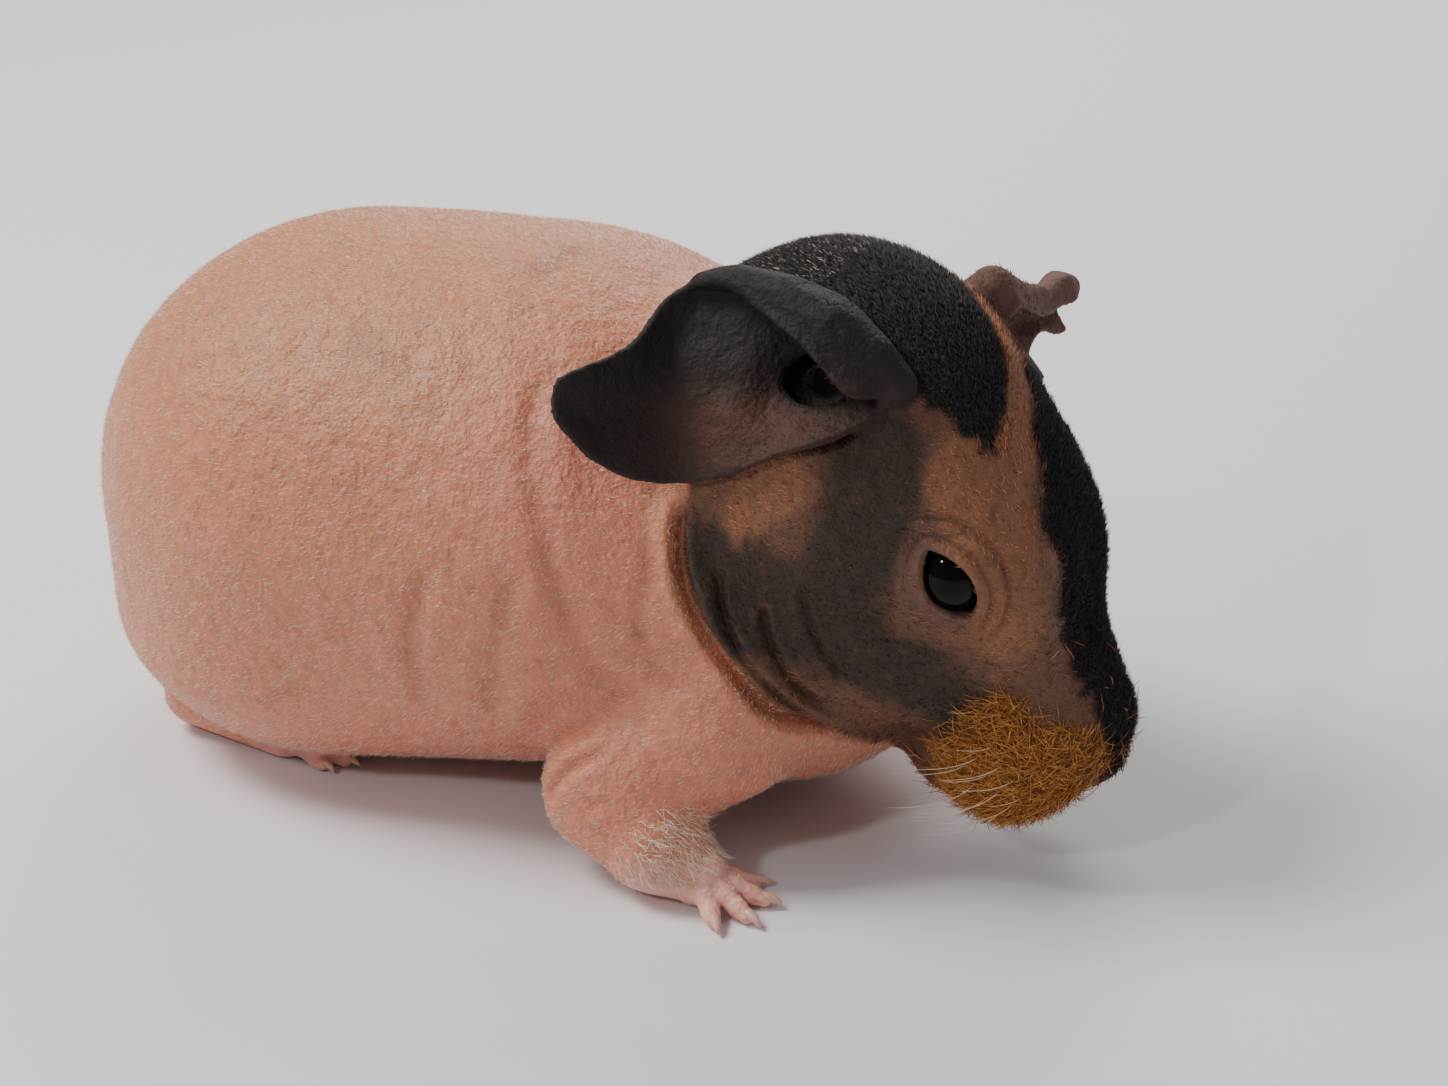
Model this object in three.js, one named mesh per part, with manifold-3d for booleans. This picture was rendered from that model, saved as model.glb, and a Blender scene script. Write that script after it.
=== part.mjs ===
// Skinny pig: a hairless guinea pig pup that crouches with its head lowered.
// Millimetres. +X is forward, +Y is the animal's left, +Z is up and the floor is z = 0.
import * as THREE from "three";
import { mergeVertices } from "three/addons/utils/BufferGeometryUtils.js";
import Module from "manifold-3d";

const wasm = await Module();
wasm.setup();

// Spacing of the surface grids, and the gap that neighbouring parts keep
const TORSO_CELL = 6;
const NECK_CELL = 4.5;
const HEAD_CELL = 3;
const LIMB_CELL = 3.2;
const FOOT_CELL = 2.4;
const GAP = 0.3;
const WELD_TOLERANCES = [0.05, 0.03, 0.02, 0.01, 0.005];
const GRID_SHIFTS = [0, 0.15, 0.3, 0.45, 0.6, 0.75, 0.9];

// Body: centres and radii of the masses that it is blended from
const RUMP = { centre: [-44, 0, 35], radii: [38, 36, 35] };
const HAUNCHES = { centre: [-50, 0, 18], radii: [30, 32, 17.7] };
const LOIN = { centre: [-18, 0, 36], radii: [36, 36, 34.5] };
const CHEST = { centre: [10, 0, 31], radii: [28, 29.5, 28.5] };
const NAPE = { centre: [9, -1, 50], radii: [17, 17.5, 16] };
const NECK = { from: [8, -2, 37], headEnd: [-12, 0, -4], radii: [22.5, 19] };

// Head: its frame has +X along the nose and +Z out of the forehead
const HEAD_CENTRE = new THREE.Vector3(29, -7, 48.5);
const HEAD_TURN = { yaw: -4, pitch: 46, roll: -2 };
const CRANIUM = { centre: [-8, 0, 0], radii: [23, 20, 20] };
const BROW = { centre: [9, 8, 4.2], radii: [15, 9.5, 10] };
const JOWL = { centre: [-6, 10.5, -11], radii: [17, 11.5, 15] };
const CHEEK = { centre: [10, 8, -12], radii: [16, 9.5, 10] };
const MUZZLE = { from: [8, 0, 0.5], to: [34.5, 0, -5.5], radii: [13, 9.5] };
const WHISKER_PAD = { centre: [34, 5.5, -12], radii: [8.5, 6.5, 8] };
const CHIN = { centre: [30, 0, -19.5], radii: [8, 7, 5.5] };
const NOSE_PAD = { centre: [42.6, 0, -5.5], radii: [2.6, 4, 3.6] };
const NOSTRIL = { centre: [44.2, 2.3, -5.2], radii: [1.8, 1.5, 0.8], tilt: 35 };
const MOUTH_LINE = { centre: [35.5, 0, -17.2], radii: [7.5, 9], thickness: 0.7, tilt: 16 };
const LIP_CLEFT = { centre: [42.4, 0, -13], size: [4, 0.7, 8] };

// Eye: the ball, the dome of the lids over it and the almond opening between them
const EYE_RADIUS = 5.2;
const EYE_CENTRE = [10.8, 13.6, 3.5];
const EYE_AXIS = [0.24, 0.965, 0.08];
const LID_RADIUS = 6.35;
const LID_OPENING = { length: 9.8, height: 5.6, tilt: -12 };

// Forelegs and feet, for the left side; the right side mirrors them
const SHOULDER = { at: [9, 23, 19], radius: 11 };
const ELBOW = { at: [-1, 29, 11], radius: 8.5 };
const WRIST = { at: [5, 33.3, 6.3], radius: 5.4 };
const PALM = { at: [11, 33.8, 3.4], radius: 3.9 };
const HEEL = { at: [-67, 13.5, 5.5], radius: 5.2 };
const HIND_BALL = { at: [-53, 17, 3.6], radius: 3.9 };
const FORE_TOES = { count: 4, spread: 90, length: 7.4, radii: [1.9, 1.5, 1.1] };
const HIND_TOE_ROOM = { at: [-42, 18.2, 2.5], radius: 4.6 };
const HIND_TOES = { count: 3, spread: 34, length: 7.6, radii: [2.1, 1.7, 1.2] };
const CLAW = { length: 2.6, radius: 0.75 };
const FORE_AIM = [0.985, 0.174];
const HIND_AIM = [0.97, 0.1];
const TOE_HEIGHTS = [2.6, 2.5, 1.5, 0.9, 0.8];
const CLAW_HEIGHTS = [1.3, 1.25, 0.55];
const TOE_SIDES = 7;
const CLAW_SIDES = 5;

// Planes that part the body: a point on each and the side that it keeps
const HEAD_PLANE = { point: [15, -2, 42], normal: [0.985, 0.03, 0.17] };
const THROAT_PLANE = { point: [19, 0, 22], normal: [0.756, 0, 0.655] };
const NECK_LENGTH = 11;
const NECK_FLOOR = 21;
const SHOULDER_BOX = { low: [-15, 20.5, -5], high: [32, 60, 21] };
const HIP_BOX = { low: [-76, 20, -5], high: [-36, 60, 20] };
const WRIST_PLANE = { point: [6.4, 33.5, 6], normal: [0.97, 0.05, -0.2] };
const FOOT_BOX = { low: [0, 27, -5], high: [32, 60, 10] };

// Ears: curves along the leaf, each point given as along, up across and out of the cup
const EAR_THICKNESS = { root: 1.5, rim: 0.8 };
const EAR_GRID = { along: 18, across: 10 };
const EAR_BOWL = { centre: [11, 1.5, 0], radii: [10, 7.5, 7] };
const RIGHT_EAR = {
  root: [30.9, -21.5, 65.5],
  along: [-0.946, -0.326, 0],
  across: [-0.138, 0.4, 0.907],
  out: [0.295, -0.857, 0.423],
  lowerEdge: [
    [-0.5, -2.5, -1.8], [6.8, -6.2, 1.4], [12.6, -8, 0], [19, -10.3, -3.1], [24.5, -11.2, -6.4],
    [29, -11, -5], [33, -9.6, -2.5], [36.2, -7.2, 0], [38.8, -4, 1.5],
  ],
  hollow: [
    [-0.5, -1, -2.2], [6, 0, -4], [11.5, 1, -5.2], [17.5, -0.2, -4.6], [23.2, -1.1, -6.2],
    [28.3, -2.5, -6.5], [33, -3, -4], [36.6, -2.5, -1], [39.2, -2.3, 1.5],
  ],
  fold: [
    [-0.5, 0.5, -1.2], [4.5, 8.5, -1.5], [9.5, 11.3, -2.5], [14.5, 13, -4], [20.5, 13, -6],
    [25.5, 9.5, -6.5], [30.3, 4.2, -3.5], [35.2, 1.8, 0], [38.9, -0.4, 2],
  ],
  rolledEdge: [
    [-0.5, -1.2, -0.5], [5.2, -1.5, 3.2], [10.5, 4, 2.2], [15, 8, -0.2], [20.5, 12.4, -4],
    [25.8, 10.8, -6], [30.4, 4.8, -3.2], [35.4, 2.2, 0.2], [38.4, 0.7, 2.2],
  ],
};
const LEFT_EAR = {
  root: [38.5, 4.5, 63.5],
  along: [0.05, 0.953, -0.3],
  across: [-0.349, 0.298, 0.889],
  out: [0.936, 0.059, 0.346],
  lowerEdge: [
    [-1, -8, -3], [5, -6.7, -1], [10, -3.7, -2], [15, -1.9, -2.5], [20, -0.3, -1.8], [24, -0.9, -1],
    [26.5, -0.7, -0.6],
  ],
  hollow: [
    [-1, -0.8, -6], [5, -0.6, -5.4], [10, 0.3, -4.6], [15, 1.3, -4.1], [20, 2.1, -2.7], [24, 2.7, -1.9],
    [26.5, 2.5, -1.3],
  ],
  fold: [
    [-1, 6.8, -4], [5, 6.4, -3.7], [10, 5.5, -2.7], [15, 4.8, -2], [20, 5.2, -0.9], [24, 6.8, 0],
    [26.5, 5.9, 0.2],
  ],
  rolledEdge: [
    [-1, 3, 2], [5, 2.1, 1.8], [10, 1.5, 1.3], [15, 1.6, 0.9], [20, 2.4, 1.4], [24, 2.7, 2.4],
    [26.5, 2.9, 1.4],
  ],
};

const SKIN = { color: 0xc9957c, roughness: 0.6 };
const HEAD_SKIN = { color: 0x7a5a48, roughness: 0.7 };
const EAR_SKIN = { color: 0x3d2b26, roughness: 0.6 };
const FOOT_SKIN = { color: 0xdba392, roughness: 0.55 };
const EYE_GLOSS = { color: 0x120c0a, roughness: 0.08 };

// Widths over which neighbouring masses run into each other
const BLEND = {
  haunch: 8, trunk: 10, nape: 9, neck: 7, face: 7, muzzle: 8, pad: 5, chin: 2.5, nose: 1.5, lid: 2,
  headToTrunk: 3.5, legToTrunk: 4, palm: 3, bowl: 3,
};

// Boxes that the surface grids are laid over, for the left side where there are two
const TORSO_GRID = [[-86, -44, 0], [42, 44, 76]];
const NECK_GRID = [[-6, -36, 14], [26, 36, 74]];
const HEAD_GRID = [[6, -36, 4], [70, 26, 78]];
const EAR_CUT_GRID = [[-10, -40, 20], [62, 34, 80]];
const FORE_GRID = [[-16, 14, 0], [26, 44, 26]];
const HAUNCH_GRID = [[-84, 10, 0], [-30, 44, 28]];
const HIND_GRID = [[-76, 6, -1], [-32, 30, 14]];
const BLOCK_SIZE = 300;
const OPENING_DEPTH = 12;

const LEFT = 1;
const RIGHT = -1;
const UP = new THREE.Vector3(0, 0, 1);
const mirrored = (point, side) => [point[0], point[1] * side, point[2]];
const sidedGrid = ([low, high], side) =>
  side === LEFT
    ? [low, high]
    : [[low[0], -high[1], low[2]], [high[0], -low[1], high[2]]];
const vector = (point) => new THREE.Vector3(...point);

// Distance fields: negative inside, about the distance in millimetres outside
function ellipsoid(p, { centre, radii }) {
  const x = p.x - centre[0];
  const y = p.y - centre[1];
  const z = p.z - centre[2];
  const scaled = Math.hypot(x / radii[0], y / radii[1], z / radii[2]);
  const slope = Math.hypot(x / radii[0] ** 2, y / radii[1] ** 2, z / radii[2] ** 2);
  return slope < 1e-9 ? -Math.min(...radii) : (scaled * (scaled - 1)) / slope;
}

function taper(p, from, to, startRadius, endRadius) {
  const start = vector(from);
  const line = vector(to).sub(start);
  const offset = p.clone().sub(start);
  const share = THREE.MathUtils.clamp(offset.dot(line) / line.lengthSq(), 0, 1);
  return offset.addScaledVector(line, -share).length() - startRadius - (endRadius - startRadius) * share;
}

function blend(a, b, width) {
  const share = THREE.MathUtils.clamp(0.5 + (0.5 * (b - a)) / width, 0, 1);
  return b + (a - b) * share - width * share * (1 - share);
}

const headMatrix = new THREE.Matrix4()
  .makeRotationFromEuler(
    new THREE.Euler(
      THREE.MathUtils.degToRad(HEAD_TURN.roll),
      THREE.MathUtils.degToRad(HEAD_TURN.pitch),
      THREE.MathUtils.degToRad(HEAD_TURN.yaw),
      "ZYX",
    ),
  )
  .setPosition(HEAD_CENTRE);
const headInverse = headMatrix.clone().invert();

// Skull, cheeks, muzzle and lids, in the head's own frame
function headField(point) {
  const p = point.clone().applyMatrix4(headInverse);
  p.y = Math.abs(p.y);
  let d = ellipsoid(p, CRANIUM);
  d = blend(d, ellipsoid(p, BROW), BLEND.face);
  d = blend(d, ellipsoid(p, JOWL), BLEND.face);
  d = blend(d, ellipsoid(p, CHEEK), BLEND.face);
  d = blend(d, taper(p, MUZZLE.from, MUZZLE.to, ...MUZZLE.radii), BLEND.muzzle);
  d = blend(d, ellipsoid(p, WHISKER_PAD), BLEND.pad);
  d = blend(d, ellipsoid(p, CHIN), BLEND.chin);
  d = blend(d, ellipsoid(p, NOSE_PAD), BLEND.nose);
  return blend(d, p.distanceTo(vector(EYE_CENTRE)) - LID_RADIUS, BLEND.lid);
}

const neckEnd = vector(NECK.headEnd).applyMatrix4(headMatrix).toArray();

function trunkField(p) {
  let d = ellipsoid(p, RUMP);
  d = blend(d, ellipsoid(p, HAUNCHES), BLEND.haunch);
  d = blend(d, ellipsoid(p, LOIN), BLEND.trunk);
  d = blend(d, ellipsoid(p, CHEST), BLEND.trunk);
  d = blend(d, ellipsoid(p, NAPE), BLEND.nape);
  return blend(d, taper(p, NECK.from, neckEnd, ...NECK.radii), BLEND.neck);
}

function forelegField(point) {
  const p = point.clone();
  p.y = Math.abs(p.y);
  const upper = taper(p, SHOULDER.at, ELBOW.at, SHOULDER.radius, ELBOW.radius);
  const lower = taper(p, ELBOW.at, WRIST.at, ELBOW.radius, WRIST.radius);
  const palm = taper(p, WRIST.at, PALM.at, WRIST.radius, PALM.radius);
  return blend(blend(upper, lower, BLEND.legToTrunk), palm, BLEND.palm);
}

function hindfootField(point) {
  const p = point.clone();
  p.y = Math.abs(p.y);
  return taper(p, HEEL.at, HIND_BALL.at, HEEL.radius, HIND_BALL.radius);
}

// The room that a hind foot and its toes take under the belly
function hindClearance(point) {
  const p = point.clone();
  p.y = Math.abs(p.y);
  const room = taper(p, HIND_BALL.at, HIND_TOE_ROOM.at, HIND_BALL.radius, HIND_TOE_ROOM.radius);
  return Math.min(hindfootField(point), room) - GAP;
}

const earMatrix = (ear) =>
  new THREE.Matrix4()
    .makeBasis(vector(ear.along), vector(ear.across), vector(ear.out))
    .setPosition(vector(ear.root));
const rightEarInverse = earMatrix(RIGHT_EAR).invert();

// The whole body without ears, with the hollow that the right ear's cup lies in
function bodyField(p) {
  const trunkAndHead = blend(trunkField(p), headField(p), BLEND.headToTrunk);
  const bowl = ellipsoid(p.clone().applyMatrix4(rightEarInverse), EAR_BOWL);
  const hollowed = -blend(-trunkAndHead, bowl, BLEND.bowl);
  return Math.max(blend(hollowed, forelegField(p), BLEND.legToTrunk), -p.z);
}

// Closed grid surface of a field inside a box, its points drawn onto the field's zero
function fieldGeometry(field, low, high, cell) {
  const counts = low.map((value, axis) => Math.ceil((high[axis] - value) / cell) + 3);
  const place = (i, j, k) =>
    new THREE.Vector3(low[0] + (i - 1.5) * cell, low[1] + (j - 1.5) * cell, low[2] + (k - 1.5) * cell);
  const boxed = (p) => {
    const below = Math.max(low[0] - p.x, low[1] - p.y, low[2] - p.z);
    const beyond = Math.max(p.x - high[0], p.y - high[1], p.z - high[2]);
    return Math.max(field(p), below, beyond);
  };
  const strides = [1, counts[0] + 1, (counts[0] + 1) * (counts[1] + 1)];
  const index = (i, j, k) => i * strides[0] + j * strides[1] + k * strides[2];
  const values = new Float64Array(strides[2] * (counts[2] + 1));
  for (let k = 0; k <= counts[2]; k++)
    for (let j = 0; j <= counts[1]; j++)
      for (let i = 0; i <= counts[0]; i++) values[index(i, j, k)] = boxed(place(i, j, k));

  const positions = [];
  const vertexOf = new Map();
  const corners = [0, 1, 2, 3, 4, 5, 6, 7].map((n) => [n & 1, (n >> 1) & 1, n >> 2]);
  for (let k = 0; k < counts[2]; k++)
    for (let j = 0; j < counts[1]; j++)
      for (let i = 0; i < counts[0]; i++) {
        const inside = corners.map(([a, b, c]) => values[index(i + a, j + b, k + c)] < 0);
        if (inside.every((flag) => flag === inside[0])) continue;
        const point = cellPoint(boxed, place, [i, j, k], corners, inside, values, index);
        vertexOf.set(index(i, j, k), positions.length / 3);
        positions.push(point.x, point.y, point.z);
      }

  const triangles = [];
  const addQuad = (a, b, c, d, flip) => {
    const quad = [a, b, c, d].map((key) => vertexOf.get(key));
    if (flip) quad.reverse();
    triangles.push(quad[0], quad[1], quad[2], quad[0], quad[2], quad[3]);
  };
  for (let k = 1; k < counts[2]; k++)
    for (let j = 1; j < counts[1]; j++)
      for (let i = 1; i < counts[0]; i++) {
        const here = index(i, j, k);
        const inside = values[here] < 0;
        for (let axis = 0; axis < 3; axis++) {
          if (values[here + strides[axis]] < 0 === inside) continue;
          const u = strides[(axis + 1) % 3];
          const v = strides[(axis + 2) % 3];
          addQuad(here, here - u, here - u - v, here - v, !inside);
        }
      }
  const geometry = new THREE.BufferGeometry();
  geometry.setAttribute("position", new THREE.Float32BufferAttribute(positions, 3));
  geometry.setIndex(triangles);
  return geometry;
}

// One point for a cell: the mean of its edge crossings, then two steps along the field's slope
function cellPoint(field, place, [i, j, k], corners, inside, values, index) {
  const mean = new THREE.Vector3();
  let crossings = 0;
  for (let first = 0; first < 8; first++)
    for (const bit of [1, 2, 4]) {
      const second = first | bit;
      if (second === first || inside[first] === inside[second]) continue;
      const [a, b, c] = corners[first];
      const [d, e, f] = corners[second];
      const start = values[index(i + a, j + b, k + c)];
      const end = values[index(i + d, j + e, k + f)];
      mean.add(place(i + a, j + b, k + c).lerp(place(i + d, j + e, k + f), start / (start - end)));
      crossings++;
    }
  mean.divideScalar(crossings);
  for (let round = 0; round < 2; round++) {
    const value = field(mean);
    const slope = fieldSlope(field, mean, value);
    mean.addScaledVector(slope, -value / Math.max(slope.lengthSq(), 0.25));
  }
  return mean;
}

// Slope of a field at a point, from its value there and a short step along each axis
function fieldSlope(field, point, value) {
  const step = 0.05;
  return new THREE.Vector3(
    field(point.clone().setX(point.x + step)) - value,
    field(point.clone().setY(point.y + step)) - value,
    field(point.clone().setZ(point.z + step)) - value,
  ).divideScalar(step);
}

// Solids for joining and cutting; a solid's geometry shares the vertices of its neighbouring faces
function indexedSolid(geometry) {
  return new wasm.Manifold(
    new wasm.Mesh({
      numProp: 3,
      vertProperties: geometry.attributes.position.array,
      triVerts: new Uint32Array(geometry.index.array),
    }),
  );
}

function toSolid(geometry, matrix = new THREE.Matrix4()) {
  const bare = geometry.clone().applyMatrix4(matrix);
  bare.deleteAttribute("normal");
  bare.deleteAttribute("uv");
  return indexedSolid(mergeVertices(bare, 1e-4));
}

// A grid can pinch two sheets of the surface onto one edge, so it is moved until none does
function fieldSolid(field, low, high, cell) {
  for (const shift of GRID_SHIFTS) {
    const start = low.map((value) => value - shift * cell);
    const geometry = mergeVertices(fieldGeometry(field, start, high, cell), 1e-3);
    if (isClosed(geometry)) return indexedSolid(geometry);
  }
  throw new Error("every grid pinches this surface");
}

// Whether each edge is shared by just two faces
function isClosed(geometry) {
  const faces = new Map();
  const { array } = geometry.index;
  for (let n = 0; n < array.length; n += 3)
    for (const [a, b] of [[array[n], array[n + 1]], [array[n + 1], array[n + 2]], [array[n + 2], array[n]]]) {
      const edge = Math.min(a, b) + "_" + Math.max(a, b);
      faces.set(edge, (faces.get(edge) ?? 0) + 1);
    }
  return [...faces.values()].every((count) => count === 2);
}

const largest = (solid) => solid.decompose().reduce((a, b) => (b.volume() > a.volume() ? b : a));

// A solid's surface, with the shortest edges that cutting leaves drawn together
function toGeometry(solid) {
  const { vertProperties, triVerts } = solid.getMesh();
  const geometry = new THREE.BufferGeometry();
  geometry.setAttribute("position", new THREE.BufferAttribute(vertProperties, 3));
  geometry.setIndex(new THREE.BufferAttribute(triVerts, 1));
  for (const tolerance of WELD_TOLERANCES) {
    const welded = mergeVertices(geometry, tolerance);
    const kept = [];
    for (let n = 0; n < welded.index.count; n += 3) {
      const [a, b, c] = [0, 1, 2].map((corner) => welded.index.getX(n + corner));
      if (a !== b && b !== c && c !== a) kept.push(a, b, c);
    }
    welded.setIndex(kept);
    if (isClosed(welded)) return welded;
  }
  return geometry;
}

// A large block that lies on the normal's side of a plane, moved along the normal by shift
function halfSpace({ point, normal }, shift = 0) {
  const direction = vector(normal).normalize();
  const turn = new THREE.Quaternion().setFromUnitVectors(UP, direction);
  const centre = vector(point).addScaledVector(direction, shift + BLOCK_SIZE / 2);
  const matrix = new THREE.Matrix4().compose(centre, turn, new THREE.Vector3(1, 1, 1));
  return toSolid(new THREE.BoxGeometry(BLOCK_SIZE, BLOCK_SIZE, BLOCK_SIZE), matrix);
}

function boxBetween({ low, high }, side, grow) {
  const size = high.map((value, axis) => value - low[axis] + 2 * grow);
  const centre = high.map((value, axis) => (value + low[axis]) / 2);
  const geometry = new THREE.BoxGeometry(...size);
  geometry.translate(...mirrored(centre, side));
  return toSolid(geometry);
}

function headMatrixFor(centre, turn) {
  return headMatrix
    .clone()
    .multiply(new THREE.Matrix4().compose(vector(centre), turn, new THREE.Vector3(1, 1, 1)));
}

function headEllipsoid(centre, radii, turn = new THREE.Quaternion()) {
  const geometry = new THREE.SphereGeometry(1, 14, 8);
  geometry.scale(...radii);
  return toSolid(geometry, headMatrixFor(centre, turn));
}

// Regions of the body that the planes mark off, grown by the gap where they cut a neighbour
const behind = ({ point, normal }) => ({ point, normal: normal.map((value) => -value) });
const NECK_REAR_PLANE = {
  point: vector(HEAD_PLANE.point)
    .addScaledVector(vector(HEAD_PLANE.normal).normalize(), -NECK_LENGTH)
    .toArray(),
  normal: HEAD_PLANE.normal,
};
const headRegion = (grow) => halfSpace(HEAD_PLANE, -grow).intersect(halfSpace(THROAT_PLANE, -grow));
const neckRegion = (grow) =>
  halfSpace(behind(HEAD_PLANE), -grow)
    .intersect(halfSpace(NECK_REAR_PLANE, -grow))
    .intersect(halfSpace({ point: [0, 0, NECK_FLOOR], normal: [0, 0, 1] }, -grow));

function buildTorso() {
  let solid = fieldSolid(bodyField, ...TORSO_GRID, TORSO_CELL);
  const cuts = [headRegion(GAP), neckRegion(GAP)];
  for (const side of [LEFT, RIGHT]) {
    cuts.push(boxBetween(SHOULDER_BOX, side, GAP), boxBetween(HIP_BOX, side, GAP));
    cuts.push(fieldSolid(hindClearance, ...sidedGrid(HIND_GRID, side), FOOT_CELL));
  }
  for (const cut of cuts) solid = solid.subtract(cut);
  return largest(solid);
}

function buildNeck() {
  const solid = fieldSolid(bodyField, ...NECK_GRID, NECK_CELL);
  return largest(solid.intersect(neckRegion(0)));
}

function eyeFrame(side) {
  const axis = vector(mirrored(EYE_AXIS, side)).normalize();
  const tilt = THREE.MathUtils.degToRad(LID_OPENING.tilt);
  const long = new THREE.Vector3(Math.cos(tilt), 0, Math.sin(tilt));
  long.addScaledVector(axis, -long.dot(axis)).normalize();
  const up = new THREE.Vector3().crossVectors(axis, long);
  const turn = new THREE.Matrix4().makeBasis(long, up, axis);
  return headMatrixFor(mirrored(EYE_CENTRE, side), new THREE.Quaternion().setFromRotationMatrix(turn));
}

// The almond opening: two arcs that meet at the corners of the eye, pushed out of the head
function lidOpening(side) {
  const half = LID_OPENING.length / 2;
  const rise = LID_OPENING.height / 2;
  const almond = new THREE.Shape();
  almond.moveTo(-half, 0);
  almond.bezierCurveTo(-half * 0.6, rise * 1.3, half * 0.6, rise * 1.3, half, 0);
  almond.bezierCurveTo(half * 0.6, -rise * 1.3, -half * 0.6, -rise * 1.3, -half, 0);
  const geometry = new THREE.ExtrudeGeometry(almond, {
    depth: OPENING_DEPTH,
    bevelEnabled: false,
    curveSegments: 6,
  });
  return toSolid(geometry, eyeFrame(side));
}

function buildHead() {
  let solid = fieldSolid(bodyField, ...HEAD_GRID, HEAD_CELL).intersect(headRegion(0));
  for (const side of [LEFT, RIGHT]) {
    const nostrilTurn = new THREE.Quaternion().setFromAxisAngle(
      new THREE.Vector3(1, 0, 0),
      THREE.MathUtils.degToRad(NOSTRIL.tilt * side),
    );
    solid = solid
      .subtract(lidOpening(side))
      .subtract(headEllipsoid(mirrored(EYE_CENTRE, side), Array(3).fill(EYE_RADIUS + GAP)))
      .subtract(headEllipsoid(mirrored(NOSTRIL.centre, side), NOSTRIL.radii, nostrilTurn));
  }
  const mouthTurn = new THREE.Quaternion().setFromAxisAngle(
    new THREE.Vector3(0, 1, 0),
    THREE.MathUtils.degToRad(MOUTH_LINE.tilt),
  );
  const mouth = new THREE.CylinderGeometry(1, 1, MOUTH_LINE.thickness, 24).rotateX(Math.PI / 2);
  mouth.scale(MOUTH_LINE.radii[0], MOUTH_LINE.radii[1], 1);
  const cleft = new THREE.BoxGeometry(...LIP_CLEFT.size);
  solid = solid
    .subtract(toSolid(mouth, headMatrixFor(MOUTH_LINE.centre, mouthTurn)))
    .subtract(toSolid(cleft, headMatrixFor(LIP_CLEFT.centre, new THREE.Quaternion())));
  return largest(solid);
}

function buildEye(side) {
  const geometry = new THREE.SphereGeometry(EYE_RADIUS, 14, 10);
  return toSolid(geometry, eyeFrame(side));
}

// An ear: a leaf swept through its four long curves, thickened on both faces and cut to the head
function buildEar(ear, grownHead) {
  const curves = [ear.lowerEdge, ear.hollow, ear.fold, ear.rolledEdge].map(
    (points) => new THREE.CatmullRomCurve3(points.map(vector), false, "centripetal"),
  );
  const frame = earMatrix(ear);
  const { along, across } = EAR_GRID;
  const rows = [];
  for (let i = 0; i <= along; i++) {
    const section = new THREE.CatmullRomCurve3(
      curves.map((curve) => curve.getPoint(i / along)),
      false,
      "centripetal",
    );
    rows.push(section.getPoints(across).map((point) => point.applyMatrix4(frame)));
  }
  return largest(indexedSolid(sheetGeometry(rows, EAR_THICKNESS)).subtract(grownHead));
}

// A closed sheet from rows of points, both faces split alike, thinner towards its free end and sides
function sheetGeometry(rows, { root, rim }) {
  const last = rows.length - 1;
  const width = rows[0].length - 1;
  const positions = [];
  for (const face of [1, -1])
    rows.forEach((row, i) =>
      row.forEach((point, j) => {
        const down = rows[Math.min(i + 1, last)][j].clone().sub(rows[Math.max(i - 1, 0)][j]);
        const over = row[Math.min(j + 1, width)].clone().sub(row[Math.max(j - 1, 0)]);
        const normal = down.cross(over).normalize();
        const nearRim = Math.max(i / last, Math.abs((2 * j) / width - 1) ** 3);
        const half = THREE.MathUtils.lerp(root, rim, nearRim) / 2;
        positions.push(...point.clone().addScaledVector(normal, half * face).toArray());
      }),
    );
  const sheet = rows.length * (width + 1);
  const at = (i, j, face) => face * sheet + i * (width + 1) + j;
  const triangles = [];
  const addQuad = (a, b, c, d) => triangles.push(a, b, c, a, c, d);
  for (let i = 0; i < last; i++)
    for (let j = 0; j < width; j++) {
      addQuad(at(i, j, 0), at(i + 1, j, 0), at(i + 1, j + 1, 0), at(i, j + 1, 0));
      triangles.push(at(i, j, 1), at(i + 1, j + 1, 1), at(i + 1, j, 1));
      triangles.push(at(i, j, 1), at(i, j + 1, 1), at(i + 1, j + 1, 1));
    }
  for (let i = 0; i < last; i++) {
    addQuad(at(i, 0, 0), at(i, 0, 1), at(i + 1, 0, 1), at(i + 1, 0, 0));
    addQuad(at(i, width, 0), at(i + 1, width, 0), at(i + 1, width, 1), at(i, width, 1));
  }
  for (let j = 0; j < width; j++) {
    addQuad(at(0, j, 0), at(0, j + 1, 0), at(0, j + 1, 1), at(0, j, 1));
    addQuad(at(last, j, 0), at(last, j, 1), at(last, j + 1, 1), at(last, j + 1, 0));
  }
  const geometry = new THREE.BufferGeometry();
  geometry.setAttribute("position", new THREE.Float32BufferAttribute(positions, 3));
  geometry.setIndex(triangles);
  return geometry;
}

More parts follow.
